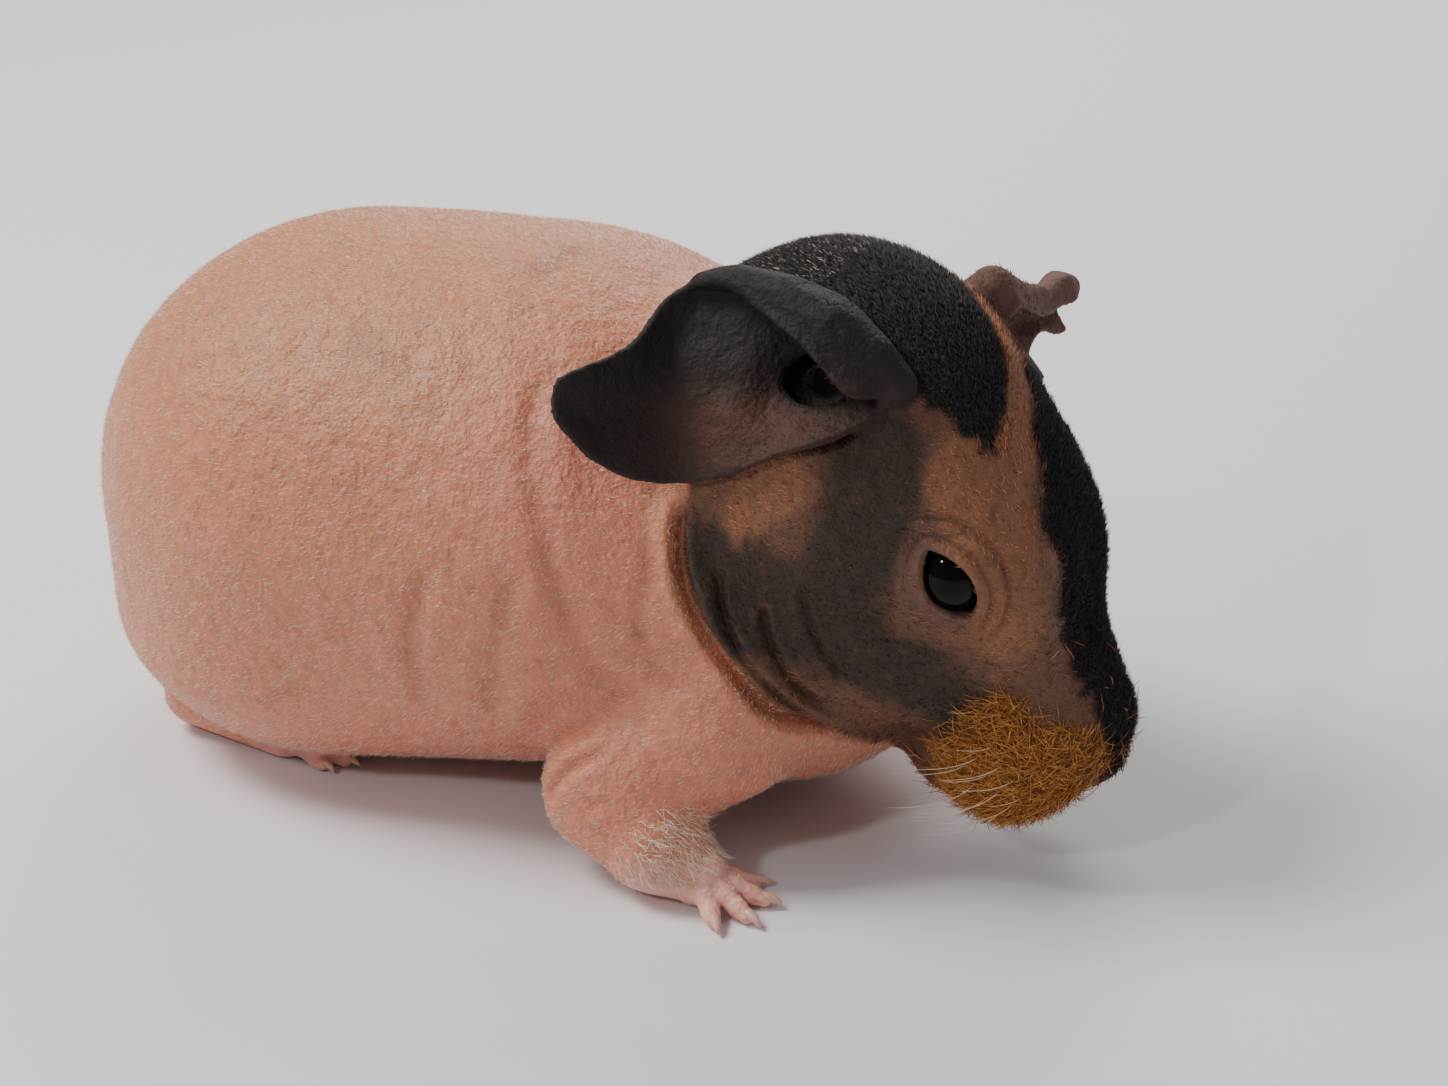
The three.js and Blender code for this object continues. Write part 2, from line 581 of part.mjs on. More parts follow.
// A closed tapered tube through the points, with a radius at each
function tubeSolid(points, radii, sides) {
  const positions = [];
  const path = points.map(vector);
  path.forEach((point, n) => {
    const direction = path[Math.min(n + 1, path.length - 1)].clone().sub(path[Math.max(n - 1, 0)]);
    const across = new THREE.Vector3().crossVectors(UP, direction).normalize();
    const over = new THREE.Vector3().crossVectors(direction, across).normalize();
    for (let side = 0; side < sides; side++) {
      const angle = (2 * Math.PI * side) / sides;
      const rim = point.clone().addScaledVector(across, Math.cos(angle) * radii[n]);
      positions.push(...rim.addScaledVector(over, Math.sin(angle) * radii[n]).toArray());
    }
  });
  const start = positions.length / 3;
  positions.push(...path[0].toArray(), ...path[path.length - 1].toArray());
  const triangles = [];
  const lastRing = (path.length - 1) * sides;
  for (let side = 0; side < sides; side++) {
    const next = (side + 1) % sides;
    triangles.push(start, next, side, start + 1, lastRing + side, lastRing + next);
    for (let ring = 0; ring < lastRing; ring += sides) {
      triangles.push(ring + side, ring + next, ring + sides + side);
      triangles.push(ring + next, ring + sides + next, ring + sides + side);
    }
  }
  const geometry = new THREE.BufferGeometry();
  geometry.setAttribute("position", new THREE.Float32BufferAttribute(positions, 3));
  geometry.setIndex(triangles);
  return indexedSolid(geometry);
}

// Toes that fan out from the front of a foot, each arched over its middle and ending in a claw
function toeSolids(from, aim, toes, side) {
  const solids = [];
  for (let n = 0; n < toes.count; n++) {
    const share = n / (toes.count - 1) - 0.5;
    const angle = Math.atan2(aim[1] * side, aim[0]) + THREE.MathUtils.degToRad(toes.spread) * share;
    const ahead = new THREE.Vector3(Math.cos(angle), Math.sin(angle), 0);
    const reach = toes.length * (1 - 0.5 * Math.abs(share));
    const base = vector(mirrored(from.at, side)).addScaledVector(ahead, from.radius * 0.35);
    const along = (distances, heights) =>
      distances.map((distance, step) =>
        base.clone().addScaledVector(ahead, distance).setZ(heights[step]).toArray(),
      );
    const [root, middle, tip] = toes.radii;
    const toeSteps = [0, reach * 0.45, reach * 0.8, reach, reach + tip * 0.5];
    const clawSteps = [reach - 0.4, reach + CLAW.length * 0.5, reach + CLAW.length];
    const clawRadii = [CLAW.radius, CLAW.radius * 0.8, CLAW.radius * 0.25];
    const toeRadii = [root, middle, tip * 1.15, tip, tip * 0.55];
    solids.push(tubeSolid(along(toeSteps, TOE_HEIGHTS), toeRadii, TOE_SIDES));
    solids.push(tubeSolid(along(clawSteps, CLAW_HEIGHTS), clawRadii, CLAW_SIDES));
  }
  return solids;
}

const aboveFloor = (grow) => halfSpace({ point: [0, 0, 0], normal: [0, 0, 1] }, grow);
const sidePlane = ({ point, normal }, side) => ({
  point: mirrored(point, side),
  normal: mirrored(normal, side),
});

const footRegion = (side, grow) =>
  halfSpace(sidePlane(WRIST_PLANE, side), -grow).intersect(boxBetween(FOOT_BOX, side, grow));

function buildForeleg(side) {
  let solid = fieldSolid(bodyField, ...sidedGrid(FORE_GRID, side), LIMB_CELL);
  solid = solid.intersect(boxBetween(SHOULDER_BOX, side, 0));
  for (const cut of [headRegion(GAP), neckRegion(GAP), footRegion(side, GAP)]) solid = solid.subtract(cut);
  return largest(solid);
}

function buildForefoot(side) {
  const palmField = (p) => {
    const at = p.clone().setY(Math.abs(p.y));
    return Math.max(taper(at, WRIST.at, PALM.at, WRIST.radius, PALM.radius), -p.z);
  };
  let solid = fieldSolid(palmField, ...sidedGrid(FORE_GRID, side), FOOT_CELL).intersect(footRegion(side, 0));
  for (const toe of toeSolids(PALM, FORE_AIM, FORE_TOES, side)) solid = solid.add(toe);
  return largest(solid.intersect(aboveFloor(0)));
}

function buildHaunch(side) {
  const solid = fieldSolid(bodyField, ...sidedGrid(HAUNCH_GRID, side), NECK_CELL);
  const clearance = fieldSolid(hindClearance, ...sidedGrid(HIND_GRID, side), FOOT_CELL);
  return largest(solid.intersect(boxBetween(HIP_BOX, side, 0)).subtract(clearance));
}

function buildHindfoot(side) {
  const footField = (p) => Math.max(hindfootField(p), -p.z);
  let solid = fieldSolid(footField, ...sidedGrid(HIND_GRID, side), FOOT_CELL);
  for (const toe of toeSolids(HIND_BALL, HIND_AIM, HIND_TOES, side)) solid = solid.add(toe);
  return largest(solid.intersect(aboveFloor(0)));
}

const group = new THREE.Group();
function addPart(name, solid, finish) {
  const mesh = new THREE.Mesh(toGeometry(solid), new THREE.MeshStandardMaterial({ metalness: 0, ...finish }));
  mesh.name = name;
  group.add(mesh);
}

const grownHead = fieldSolid((p) => bodyField(p) - GAP, ...EAR_CUT_GRID, HEAD_CELL);
addPart("torso", buildTorso(), SKIN);
addPart("neck", buildNeck(), SKIN);
addPart("head", buildHead(), HEAD_SKIN);
addPart("ear_right", buildEar(RIGHT_EAR, grownHead), EAR_SKIN);
addPart("ear_left", buildEar(LEFT_EAR, grownHead), EAR_SKIN);
for (const [label, side] of [["left", LEFT], ["right", RIGHT]]) {
  addPart("eye_" + label, buildEye(side), EYE_GLOSS);
  addPart("foreleg_" + label, buildForeleg(side), SKIN);
  addPart("forefoot_" + label, buildForefoot(side), FOOT_SKIN);
  addPart("haunch_" + label, buildHaunch(side), SKIN);
  addPart("hindfoot_" + label, buildHindfoot(side), FOOT_SKIN);
}

// The origin goes under the middle of the whole animal, on the floor
const bounds = new THREE.Box3().setFromObject(group);
const middle = bounds.getCenter(new THREE.Vector3());
group.position.set(-middle.x, -middle.y, 0);

export default group;
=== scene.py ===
# Skinny pig pup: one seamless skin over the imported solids, with eyes, claws and a sparse coat.
# Shapes are worked out in millimetres in the animal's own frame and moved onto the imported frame.
import math

import bmesh
import bpy
import numpy as np
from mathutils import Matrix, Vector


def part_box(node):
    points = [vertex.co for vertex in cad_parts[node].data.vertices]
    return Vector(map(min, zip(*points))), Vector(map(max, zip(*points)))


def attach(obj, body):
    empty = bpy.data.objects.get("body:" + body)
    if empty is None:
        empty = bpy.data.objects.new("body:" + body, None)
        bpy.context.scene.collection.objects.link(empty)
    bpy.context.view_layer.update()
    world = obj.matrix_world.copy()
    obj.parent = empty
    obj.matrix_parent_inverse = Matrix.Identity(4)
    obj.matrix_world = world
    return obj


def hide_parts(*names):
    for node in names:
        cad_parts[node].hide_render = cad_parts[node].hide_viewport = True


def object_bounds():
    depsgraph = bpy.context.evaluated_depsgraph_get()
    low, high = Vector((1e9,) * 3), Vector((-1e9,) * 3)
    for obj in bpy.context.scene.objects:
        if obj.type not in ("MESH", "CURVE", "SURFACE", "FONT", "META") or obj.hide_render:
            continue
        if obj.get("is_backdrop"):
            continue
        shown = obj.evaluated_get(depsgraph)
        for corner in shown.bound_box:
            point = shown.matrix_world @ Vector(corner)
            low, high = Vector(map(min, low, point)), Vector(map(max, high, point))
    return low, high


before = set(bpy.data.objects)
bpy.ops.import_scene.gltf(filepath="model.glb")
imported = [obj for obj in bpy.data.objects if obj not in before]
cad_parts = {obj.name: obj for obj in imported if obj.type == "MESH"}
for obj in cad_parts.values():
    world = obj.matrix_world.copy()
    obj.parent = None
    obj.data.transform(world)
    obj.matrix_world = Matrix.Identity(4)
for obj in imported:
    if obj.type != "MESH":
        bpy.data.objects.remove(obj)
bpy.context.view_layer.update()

import openvdb
from mathutils import Vector

MM = 0.001

# The skin's grid: its cell, the coarse steps in cells, its corner with its counts, and the widest
# distance that it keeps; then how far the skin lies inside the solids and above the floor
CELL = 0.4
LEVELS = (8, 2)
SPACE = ((-85.0, -43.0, -1.2), (368, 216, 200))
FAR = 2.0
SKIN_DEPTH = 0.15
FLOOR_GAP = 0.03

# Body: centres and radii of the masses that it is blended from
RUMP = ((-44, 0, 35), (38, 36, 35))
HAUNCHES = ((-50, 0, 18), (30, 32, 17.7))
LOIN = ((-18, 0, 36), (36, 36, 34.5))
CHEST = ((10, 0, 31), (28, 29.5, 28.5))
NAPE = ((9, -1, 50), (17, 17.5, 16))

# Head: its frame has +X along the nose and +Z out of the forehead
HEAD_CENTRE = np.array((29, -7, 48.5))
HEAD_TURN = (-4, 46, -2)
CRANIUM = ((-8, 0, 0), (23, 20, 20))
BROW = ((9, 8, 4.2), (15, 9.5, 10))
JOWL = ((-6, 10.5, -11), (17, 11.5, 15))
CHEEK = ((10, 8, -12), (16, 9.5, 10))
MUZZLE = ((8, 0, 0.5), (34.5, 0, -5.5), 13, 9.5)
WHISKER_PAD = ((34, 5.5, -12), (8.5, 6.5, 8))
CHIN = ((30, 0, -19.5), (8, 7, 5.5))
NOSE_PAD = ((42.6, 0, -5.5), (2.6, 4, 3.6))
EYE_CENTRE = np.array((10.8, 13.6, 3.5))
EYE_AXIS = np.array((0.24, 0.965, 0.08))
EYE_RADIUS = 5.2
EYE_GAP = 0.1
LID_RADIUS = 6.35
LID_HALF = (4.9, 2.75)
LID_TILT = -12
NOSTRIL = dict(centre=(44.2, 2.3, -5.2), radii=(1.8, 1.5, 0.8), turn=35)
MOUTH = dict(centre=(35.5, 0, -17.2), tilt=16, length=7.5, width=9, half_gap=0.3)
LIP_CLEFT = ((42.4, 0, -13), (2, 0.3, 4))
THROAT = ((8, -2, 37), (-12, 0, -4), 22.5, 19)

# Limbs, for the left side; the right side mirrors them
SHOULDER = ((9, 23, 19), 11)
ELBOW = ((-1, 29, 11), 8.5)
WRIST = ((5, 33.3, 6.3), 5.4)
PALM = ((11, 33.8, 3.4), 3.9)
HEEL = ((-67, 13.5, 5.5), 5.2)
HIND_BALL = ((-53, 17, 3.6), 3.9)
FORE_TOES = dict(root=PALM, aim=10, count=4, spread=90, length=7.4, radii=(1.9, 1.5, 1.1))
HIND_TOES = dict(root=HIND_BALL, aim=6, count=3, spread=34, length=7.6, radii=(2.1, 1.7, 1.2))
CLAW_LENGTH = 2.6
CLAW_RADIUS = 0.75

EARS = {
    "right": dict(
        root=(30.9, -21.5, 65.5),
        axes=((-0.946, -0.326, 0), (-0.138, 0.4, 0.907), (0.295, -0.857, 0.423)),
        curves=(
            ((-0.5, -2.5, -1.8), (6.8, -6.2, 1.4), (12.6, -8, 0), (19, -10.3, -3.1), (24.5, -11.2, -6.4),
             (29, -11, -5), (33, -9.6, -2.5), (36.2, -7.2, 0), (38.8, -4, 1.5)),
            ((-0.5, -1, -2.2), (6, 0, -4), (11.5, 1, -5.2), (17.5, -0.2, -4.6), (23.2, -1.1, -6.2),
             (28.3, -2.5, -6.5), (33, -3, -4), (36.6, -2.5, -1), (39.2, -2.3, 1.5)),
            ((-0.5, 0.5, -1.2), (4.5, 8.5, -1.5), (9.5, 11.3, -2.5), (14.5, 13, -4), (20.5, 13, -6),
             (25.5, 9.5, -6.5), (30.3, 4.2, -3.5), (35.2, 1.8, 0), (38.9, -0.4, 2)),
            ((-0.5, -1.2, -0.5), (5.2, -1.5, 3.2), (10.5, 4, 2.2), (15, 8, -0.2), (20.5, 12.4, -4),
             (25.8, 10.8, -6), (30.4, 4.8, -3.2), (35.4, 2.2, 0.2), (38.4, 0.7, 2.2)),
        ),
    ),
    "left": dict(
        root=(38.5, 4.5, 63.5),
        axes=((0.05, 0.953, -0.3), (-0.349, 0.298, 0.889), (0.936, 0.059, 0.346)),
        curves=(
            ((-1, -8, -3), (5, -6.7, -1), (10, -3.7, -2), (15, -1.9, -2.5), (20, -0.3, -1.8),
             (24, -0.9, -1),
             (26.5, -0.7, -0.6)),
            ((-1, -0.8, -6), (5, -0.6, -5.4), (10, 0.3, -4.6), (15, 1.3, -4.1), (20, 2.1, -2.7),
             (24, 2.7, -1.9),
             (26.5, 2.5, -1.3)),
            ((-1, 6.8, -4), (5, 6.4, -3.7), (10, 5.5, -2.7), (15, 4.8, -2), (20, 5.2, -0.9), (24, 6.8, 0),
             (26.5, 5.9, 0.2)),
            ((-1, 3, 2), (5, 2.1, 1.8), (10, 1.5, 1.3), (15, 1.6, 0.9), (20, 2.4, 1.4), (24, 2.7, 2.4),
             (26.5, 2.9, 1.4)),
        ),
    ),
}
EAR_THICKNESS = (1.5, 0.8)
EAR_CLEARANCE = 0.55
EAR_ROWS, EAR_COLUMNS = 90, 56

# The ears' rolled edges: shares of the length with a radius, and how far across the ear they run
ROLL_PLACE = 0.84
EAR_ROLL = dict(
    right=((0.0, 2.3), (0.08, 3.0), (0.2, 3.1), (0.33, 2.3), (0.45, 1.4), (0.55, 0.8)),
    left=((0.0, 3.0), (0.3, 2.0), (0.6, 1.5), (0.8, 1.5), (1.0, 1.9)),
)

# Hollows at the root of the right ear, in its axes
EAR_BOWL = ((11, 1.5, 0), (10, 7.5, 7))
CANAL = ((7.5, 0.5, -5.5), (4.5, 3.2, 4))

# Creases on the animal's right: points, depth, width and the bulge beside them
FOLDS = [
    (((7.8, -26.8, 52.2), (6.9, -27.9, 47.7), (7.3, -29.1, 43.1), (8.8, -29.9, 38.4), (11.3, -29.9, 33.6),
      (14.9, -29.4, 28.6), (18.4, -28.4, 24.4), (23.2, -23.8, 20.7), (27.8, -16.6, 15.8)), 2.2, 0.9, 1.2),
    (((12, -28.9, 43.7), (12.6, -29.3, 37.5), (15.4, -29, 31.2), (19.9, -27.3, 25.7),
      (24.4, -23.3, 21.5)), 1.1, 0.65, 0.6),
    (((17.2, -28.7, 39.2), (18.1, -28.4, 34), (20.5, -27.2, 28.5), (25.1, -23.6, 23.1)), 0.9, 0.65, 0.5),
    (((21.9, -28.2, 41.1), (23.5, -27.1, 34.3), (27.1, -24.5, 26.9)), 0.6, 0.6, 0.35),
    (((-21.9, -35.8, 41.6), (-23.4, -36.4, 36.3), (-25.2, -36, 30.5), (-25.3, -34.4, 24.2),
      (-25.1, -31, 17)), 0.5, 1.6, 0.3),
    (((-10.8, -34.6, 42.7), (-13.1, -35.7, 35), (-15.3, -34.4, 25.9),
      (-16.9, -29.9, 16.4)), 0.45, 1.6, 0.3),
    (((1.9, -27.7, 49.4), (3.9, -29.9, 42.9), (3.1, -31.5, 35.6), (5.4, -31.1, 29.1),
      (10.7, -31.6, 26.3)), 0.3, 1.2, 0.2),
    (((-11.9, -17.7, 65.5), (-11.7, -28.1, 56.7), (-8.8, -32.7, 47.4), (-6.1, -33.9, 37.9),
      (-2, -31.9, 26.9), (4.9, -33.3, 22)), 0.4, 1.7, 0.3),
    (((-8.1, -35.3, 11.1), (-6.5, -35.8, 14), (-3.5, -35.6, 17.5), (1, -35, 20)), 0.7, 0.9, 0.35),
    (((-5.7, -36.3, 14.9), (0.2, -38.1, 12.8)), 0.4, 0.6, 0.2),
    (((-3.5, -35.5, 10.5), (1.5, -37.5, 9.8)), 0.35, 0.6, 0.2),
]
HEAD_FOLDS = 4
FOLD_POINTS = 48

# Warts in the head's frame: a point, the width and the height
WARTS = (((1.7, -20, 3.6), 0.75, 0.8), ((2.9, -19.9, 5.2), 0.55, 0.45), ((19.5, -14, 2), 0.5, 0.4))


def length(v):
    return np.sqrt((v * v).sum(-1))


def unit(v):
    v = np.asarray(v, float)
    return v / np.maximum(length(v), 1e-9)[..., None]


def mirrored(point, side):
    return np.array((point[0], point[1] * side, point[2]), float)


def smooth(low, high, value):
    t = np.clip((value - low) / (high - low), 0, 1)
    return t * t * (3 - 2 * t)


def turn_matrix(yaw, pitch, roll):
    a, b, c = np.radians((yaw, pitch, roll))
    rz = np.array(((math.cos(a), -math.sin(a), 0), (math.sin(a), math.cos(a), 0), (0, 0, 1)))
    ry = np.array(((math.cos(b), 0, math.sin(b)), (0, 1, 0), (-math.sin(b), 0, math.cos(b))))
    rx = np.array(((1, 0, 0), (0, math.cos(c), -math.sin(c)), (0, math.sin(c), math.cos(c))))
    return rz @ ry @ rx


HEAD_AXES = turn_matrix(*HEAD_TURN)


def to_head(p):
    return (p - HEAD_CENTRE) @ HEAD_AXES


def from_head(q):
    return np.asarray(q) @ HEAD_AXES.T + HEAD_CENTRE


# The frame's own place: where its right eye is, against where the animal's frame has it
low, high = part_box("eye_right")
SHIFT = (np.array(low) + np.array(high)) / 2 / MM - from_head(mirrored(EYE_CENTRE, -1))


# Distance fields: negative inside, about the distance in millimetres outside
def ellipsoid(p, shape):
    centre, radii = np.array(shape[0], float), np.array(shape[1], float)
    q = p - centre
    k = length(q / radii)
    return k * (k - 1) / np.maximum(length(q / radii**2), 1e-9)


def taper(p, start, end, start_radius, end_radius):
    start, end = np.array(start, float), np.array(end, float)
    line = end - start
    t = np.clip((p - start) @ line / (line @ line), 0, 1)
    return length(p - start - t[:, None] * line) - start_radius - (end_radius - start_radius) * t


def blend(a, b, width):
    t = np.clip(0.5 + 0.5 * (b - a) / width, 0, 1)
    return b + (a - b) * t - width * t * (1 - t)


def carve(a, b, width):
    return -blend(-a, b, width)


def fold_y(p):
    return np.concatenate((p[:, :1], np.abs(p[:, 1:2]), p[:, 2:]), 1)


def eye_axes(side):
    axis = unit(mirrored(EYE_AXIS, side))
    tilt = math.radians(LID_TILT)
    along = np.array((math.cos(tilt), 0, math.sin(tilt)))
    along = unit(along - axis * (along @ axis))
    return np.stack((along, np.cross(axis, along), axis))


EYE_AXES = eye_axes(1)


def lid_rim(q):
    e = (q - EYE_CENTRE) @ EYE_AXES.T
    half, rise = LID_HALF
    radius = (half * half + rise * rise) / (2 * rise)
    return np.hypot(e[:, 0], np.abs(e[:, 1]) + radius - rise) - radius


def lid_opening(q):
    return np.maximum(lid_rim(q), -((q - EYE_CENTRE) @ EYE_AXES.T)[:, 2])


def head_field(p):
    q = fold_y(to_head(p))
    d = ellipsoid(q, CRANIUM)
    d = blend(d, ellipsoid(q, BROW), 7)
    d = blend(d, ellipsoid(q, JOWL), 7)
    d = blend(d, ellipsoid(q, CHEEK), 7)
    d = blend(d, taper(q, *MUZZLE), 8)
    d = blend(d, ellipsoid(q, WHISKER_PAD), 5)
    d = blend(d, ellipsoid(q, CHIN), 2.5)
    d = blend(d, ellipsoid(q, NOSE_PAD), 1.5)
    return blend(d, length(q - EYE_CENTRE) - LID_RADIUS, 2)


def turned(a, b, degrees):
    """Two coordinates, turned together."""
    angle = math.radians(degrees)
    return a * math.cos(angle) + b * math.sin(angle), b * math.cos(angle) - a * math.sin(angle)


def face_cuts(p, d):
    """The field with the eye sockets, nostrils, mouth line and lip cleft cut into it."""
    q = fold_y(to_head(p))
    d = carve(d, lid_opening(q), 0.9)
    d = carve(d, length(q - EYE_CENTRE) - EYE_RADIUS - EYE_GAP, 0.15)
    n = q - NOSTRIL["centre"]
    n = np.stack((n[:, 0], *turned(n[:, 1], n[:, 2], NOSTRIL["turn"])), 1)
    d = carve(d, ellipsoid(n, ((0, 0, 0), NOSTRIL["radii"])), 0.5)
    m = q - MOUTH["centre"]
    height, ahead = turned(m[:, 2], m[:, 0], MOUTH["tilt"])
    outside = np.hypot(ahead / MOUTH["length"], m[:, 1] / MOUTH["width"]) - 1
    d = carve(d, np.maximum(np.abs(height) - MOUTH["half_gap"], outside * MOUTH["length"]), 0.8)
    cleft = np.abs(q - LIP_CLEFT[0]) - LIP_CLEFT[1]
    return carve(d, cleft.max(1), 0.8)


def trunk_field(p):
    d = ellipsoid(p, RUMP)
    d = blend(d, ellipsoid(p, HAUNCHES), 8)
    d = blend(d, ellipsoid(p, LOIN), 10)
    d = blend(d, ellipsoid(p, CHEST), 10)
    d = blend(d, ellipsoid(p, NAPE), 9)
    start, end, start_radius, end_radius = THROAT
    return blend(d, taper(p, start, from_head(end), start_radius, end_radius), 7)


def toe_lines(toes):
    """For each toe its base on the ground, the way it points and its length."""
    at, radius = toes["root"]
    lines = []
    for n in range(toes["count"]):
        share = n / (toes["count"] - 1) - 0.5
        angle = math.radians(toes["aim"] + toes["spread"] * share)
        ahead = np.array((math.cos(angle), math.sin(angle), 0))
        reach = toes["length"] * (1 - 0.5 * abs(share))
        base = np.array((at[0], at[1], 0)) + ahead * radius * 0.35
        lines.append((base, ahead, reach))
    return lines


def toe_field(p, toes):
    root, middle, tip = toes["radii"]
    result = np.full(len(p), 1e3)
    for base, ahead, reach in toe_lines(toes):
        places = (
            (0, 2.6, root),
            (0.45 * reach, 2.5, middle),
            (0.8 * reach, 1.6, tip * 1.15),
            (reach + 0.2, 1.15, tip),
        )
        spots = [(base + ahead * d + (0, 0, z), r) for d, z, r in places]
        toe = None
        for (a, ra), (b, rb) in zip(spots, spots[1:]):
            piece = taper(p, a, b, ra, rb)
            toe = piece if toe is None else blend(toe, piece, 0.5)
        result = blend(result, toe, 0.5)
    return result


def bone(p, start, end):
    return taper(p, start[0], end[0], start[1], end[1])


def limb_field(p):
    q = fold_y(p)
    d = blend(bone(q, SHOULDER, ELBOW), bone(q, ELBOW, WRIST), 4)
    d = blend(d, bone(q, WRIST, PALM), 3)
    return blend(d, toe_field(q, FORE_TOES), 0.9)


def hind_field(p):
    q = fold_y(p)
    return blend(bone(q, HEEL, HIND_BALL), toe_field(q, HIND_TOES), 0.9)


def to_ear(p):
    """Points in the axes of the animal's right ear."""
    ear = EARS["right"]
    return (p - ear["root"]) @ np.array(ear["axes"]).T


def body_field(p):
    """The whole animal without its ears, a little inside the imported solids."""
    d = blend(trunk_field(p), head_field(p), 3.5)
    near = length(p - EARS["right"]["root"]) < 32
    d[near] = carve(d[near], ellipsoid(to_ear(p[near]), EAR_BOWL), 3)
    d = blend(d, limb_field(p), 4)
    d = blend(d, hind_field(p), 1.5) + SKIN_DEPTH
    near = p[:, 0] > 12
    d[near] = face_cuts(p[near], d[near])
    return np.maximum(d, FLOOR_GAP - p[:, 2])


# Ears: leaves swept through four long curves, thick enough to stand, sunk into the head
def spline(points, t):
    """A smooth curve through the points, read at shares of its length."""
    p = np.asarray(points, float)
    p = np.concatenate((2 * p[:1] - p[1:2], p, 2 * p[-1:] - p[-2:-1]))
    knots = np.concatenate(((0,), np.cumsum(np.sqrt(length(np.diff(p, axis=0))))))
    position = np.clip(np.asarray(t, float), 0, 1) * (len(points) - 1)
    n = np.minimum(position.astype(int), len(points) - 2)
    k = [knots[n + i] for i in range(4)]
    q = [p[n + i] for i in range(4)]
    x = k[1] + (position - n) * (k[2] - k[1])

    def mix(a, b, ka, kb):
        return a * ((kb - x) / (kb - ka))[:, None] + b * ((x - ka) / (kb - ka))[:, None]

    a = [mix(q[i], q[i + 1], k[i], k[i + 1]) for i in range(3)]
    b = [mix(a[i], a[i + 1], k[i], k[i + 2]) for i in range(2)]
    return mix(b[0], b[1], k[1], k[2])


def ear_rows(ear):
    """Rows of points across an ear, from inside the head to its tip, clear of the body."""
    curves = [spline(c, np.linspace(0, 1, EAR_ROWS)) for c in ear["curves"]]
    across = np.linspace(0, 1, EAR_COLUMNS)
    rows = np.stack([spline([c[i] for c in curves], across) for i in range(EAR_ROWS)])
    rows = rows @ np.array(ear["axes"]) + ear["root"]
    inward = unit(HEAD_CENTRE - ear["root"])
    flat = rows.reshape(-1, 3)
    for _ in range(4):
        d, g = slope(body_field, flat)
        flat = flat + unit(g) * np.maximum(EAR_CLEARANCE - d, 0)[:, None]
    rows = flat.reshape(rows.shape)
    return np.concatenate((rows[:1] + inward * 4, rows[:1] + inward * 2, rows))


def ear_mesh(rows):
    """A closed leaf about the rows, thick at its root and thin at its edges."""
    last, width = rows.shape[0] - 1, rows.shape[1] - 1
    i, j = np.arange(last + 1), np.arange(width + 1)
    down = rows[np.minimum(i + 1, last)] - rows[np.maximum(i - 1, 0)]
    over = rows[:, np.minimum(j + 1, width)] - rows[:, np.maximum(j - 1, 0)]
    normal = unit(np.cross(down, over))
    share = np.maximum(i[:, None] / last, np.abs(2 * j / width - 1)[None] ** 3)
    thick, thin = EAR_THICKNESS
    half = (thick + (thin - thick) * share)[..., None] / 2
    front, back = rows + normal * half, rows - normal * half
    points = np.concatenate((front.reshape(-1, 3), back.reshape(-1, 3)))
    n = width + 1
    sheet = (last + 1) * n
    i, j = np.meshgrid(np.arange(last), np.arange(width), indexing="ij")
    a = (i * n + j).ravel()
    quads = [np.stack((a, a + n, a + n + 1, a + 1), 1), np.stack((a, a + 1, a + n + 1, a + n), 1) + sheet]
    i = np.arange(last) * n
    quads.append(np.stack((i, i + sheet, i + n + sheet, i + n), 1))
    quads.append(np.stack((i + width, i + n + width, i + n + width + sheet, i + width + sheet), 1))
    j = np.arange(width)
    quads.append(np.stack((j, j + 1, j + 1 + sheet, j + sheet), 1))
    j = j + last * n
    quads.append(np.stack((j, j + sheet, j + 1 + sheet, j + 1), 1))
    return points, np.concatenate(quads)


# The skin's grid: sampled coarsely, and again finer wherever the surface may pass
def lattice(*ranges):
    """All combinations of the ranges, one to a row."""
    return np.stack(np.meshgrid(*ranges, indexing="ij"), -1).reshape(-1, 3)


def sample_field(field):
    origin, counts = np.array(SPACE[0]), np.array(SPACE[1])
    block = LEVELS[0]
    cells = lattice(*[np.arange(c // block) for c in counts]) * block
    values = field(origin + (cells + (block - 1) / 2) * CELL)
    dense = np.where(values > 0, FAR, -FAR).astype(np.float32).reshape(counts // block)
    for axis in range(3):
        dense = np.repeat(dense, block, axis)
    size = block
    for smaller in (LEVELS[1], 1):
        keep = np.abs(values) < size * CELL * 0.87 * 1.5 + 0.9
        steps = lattice(*[np.arange(size // smaller)] * 3) * smaller
        cells = (cells[keep][:, None] + steps).reshape(-1, 3)
        middles = origin + (cells + (smaller - 1) / 2) * CELL
        values = np.concatenate([field(part) for part in np.array_split(middles, 24)])
        size = smaller
        if smaller > 1:
            filled = np.where(values > 0, FAR, -FAR).astype(np.float32)
            for i, j, k in lattice(*[np.arange(smaller)] * 3):
                dense[cells[:, 0] + i, cells[:, 1] + j, cells[:, 2] + k] = filled
    dense[tuple(cells.T)] = np.clip(values, -FAR, FAR)
    return dense


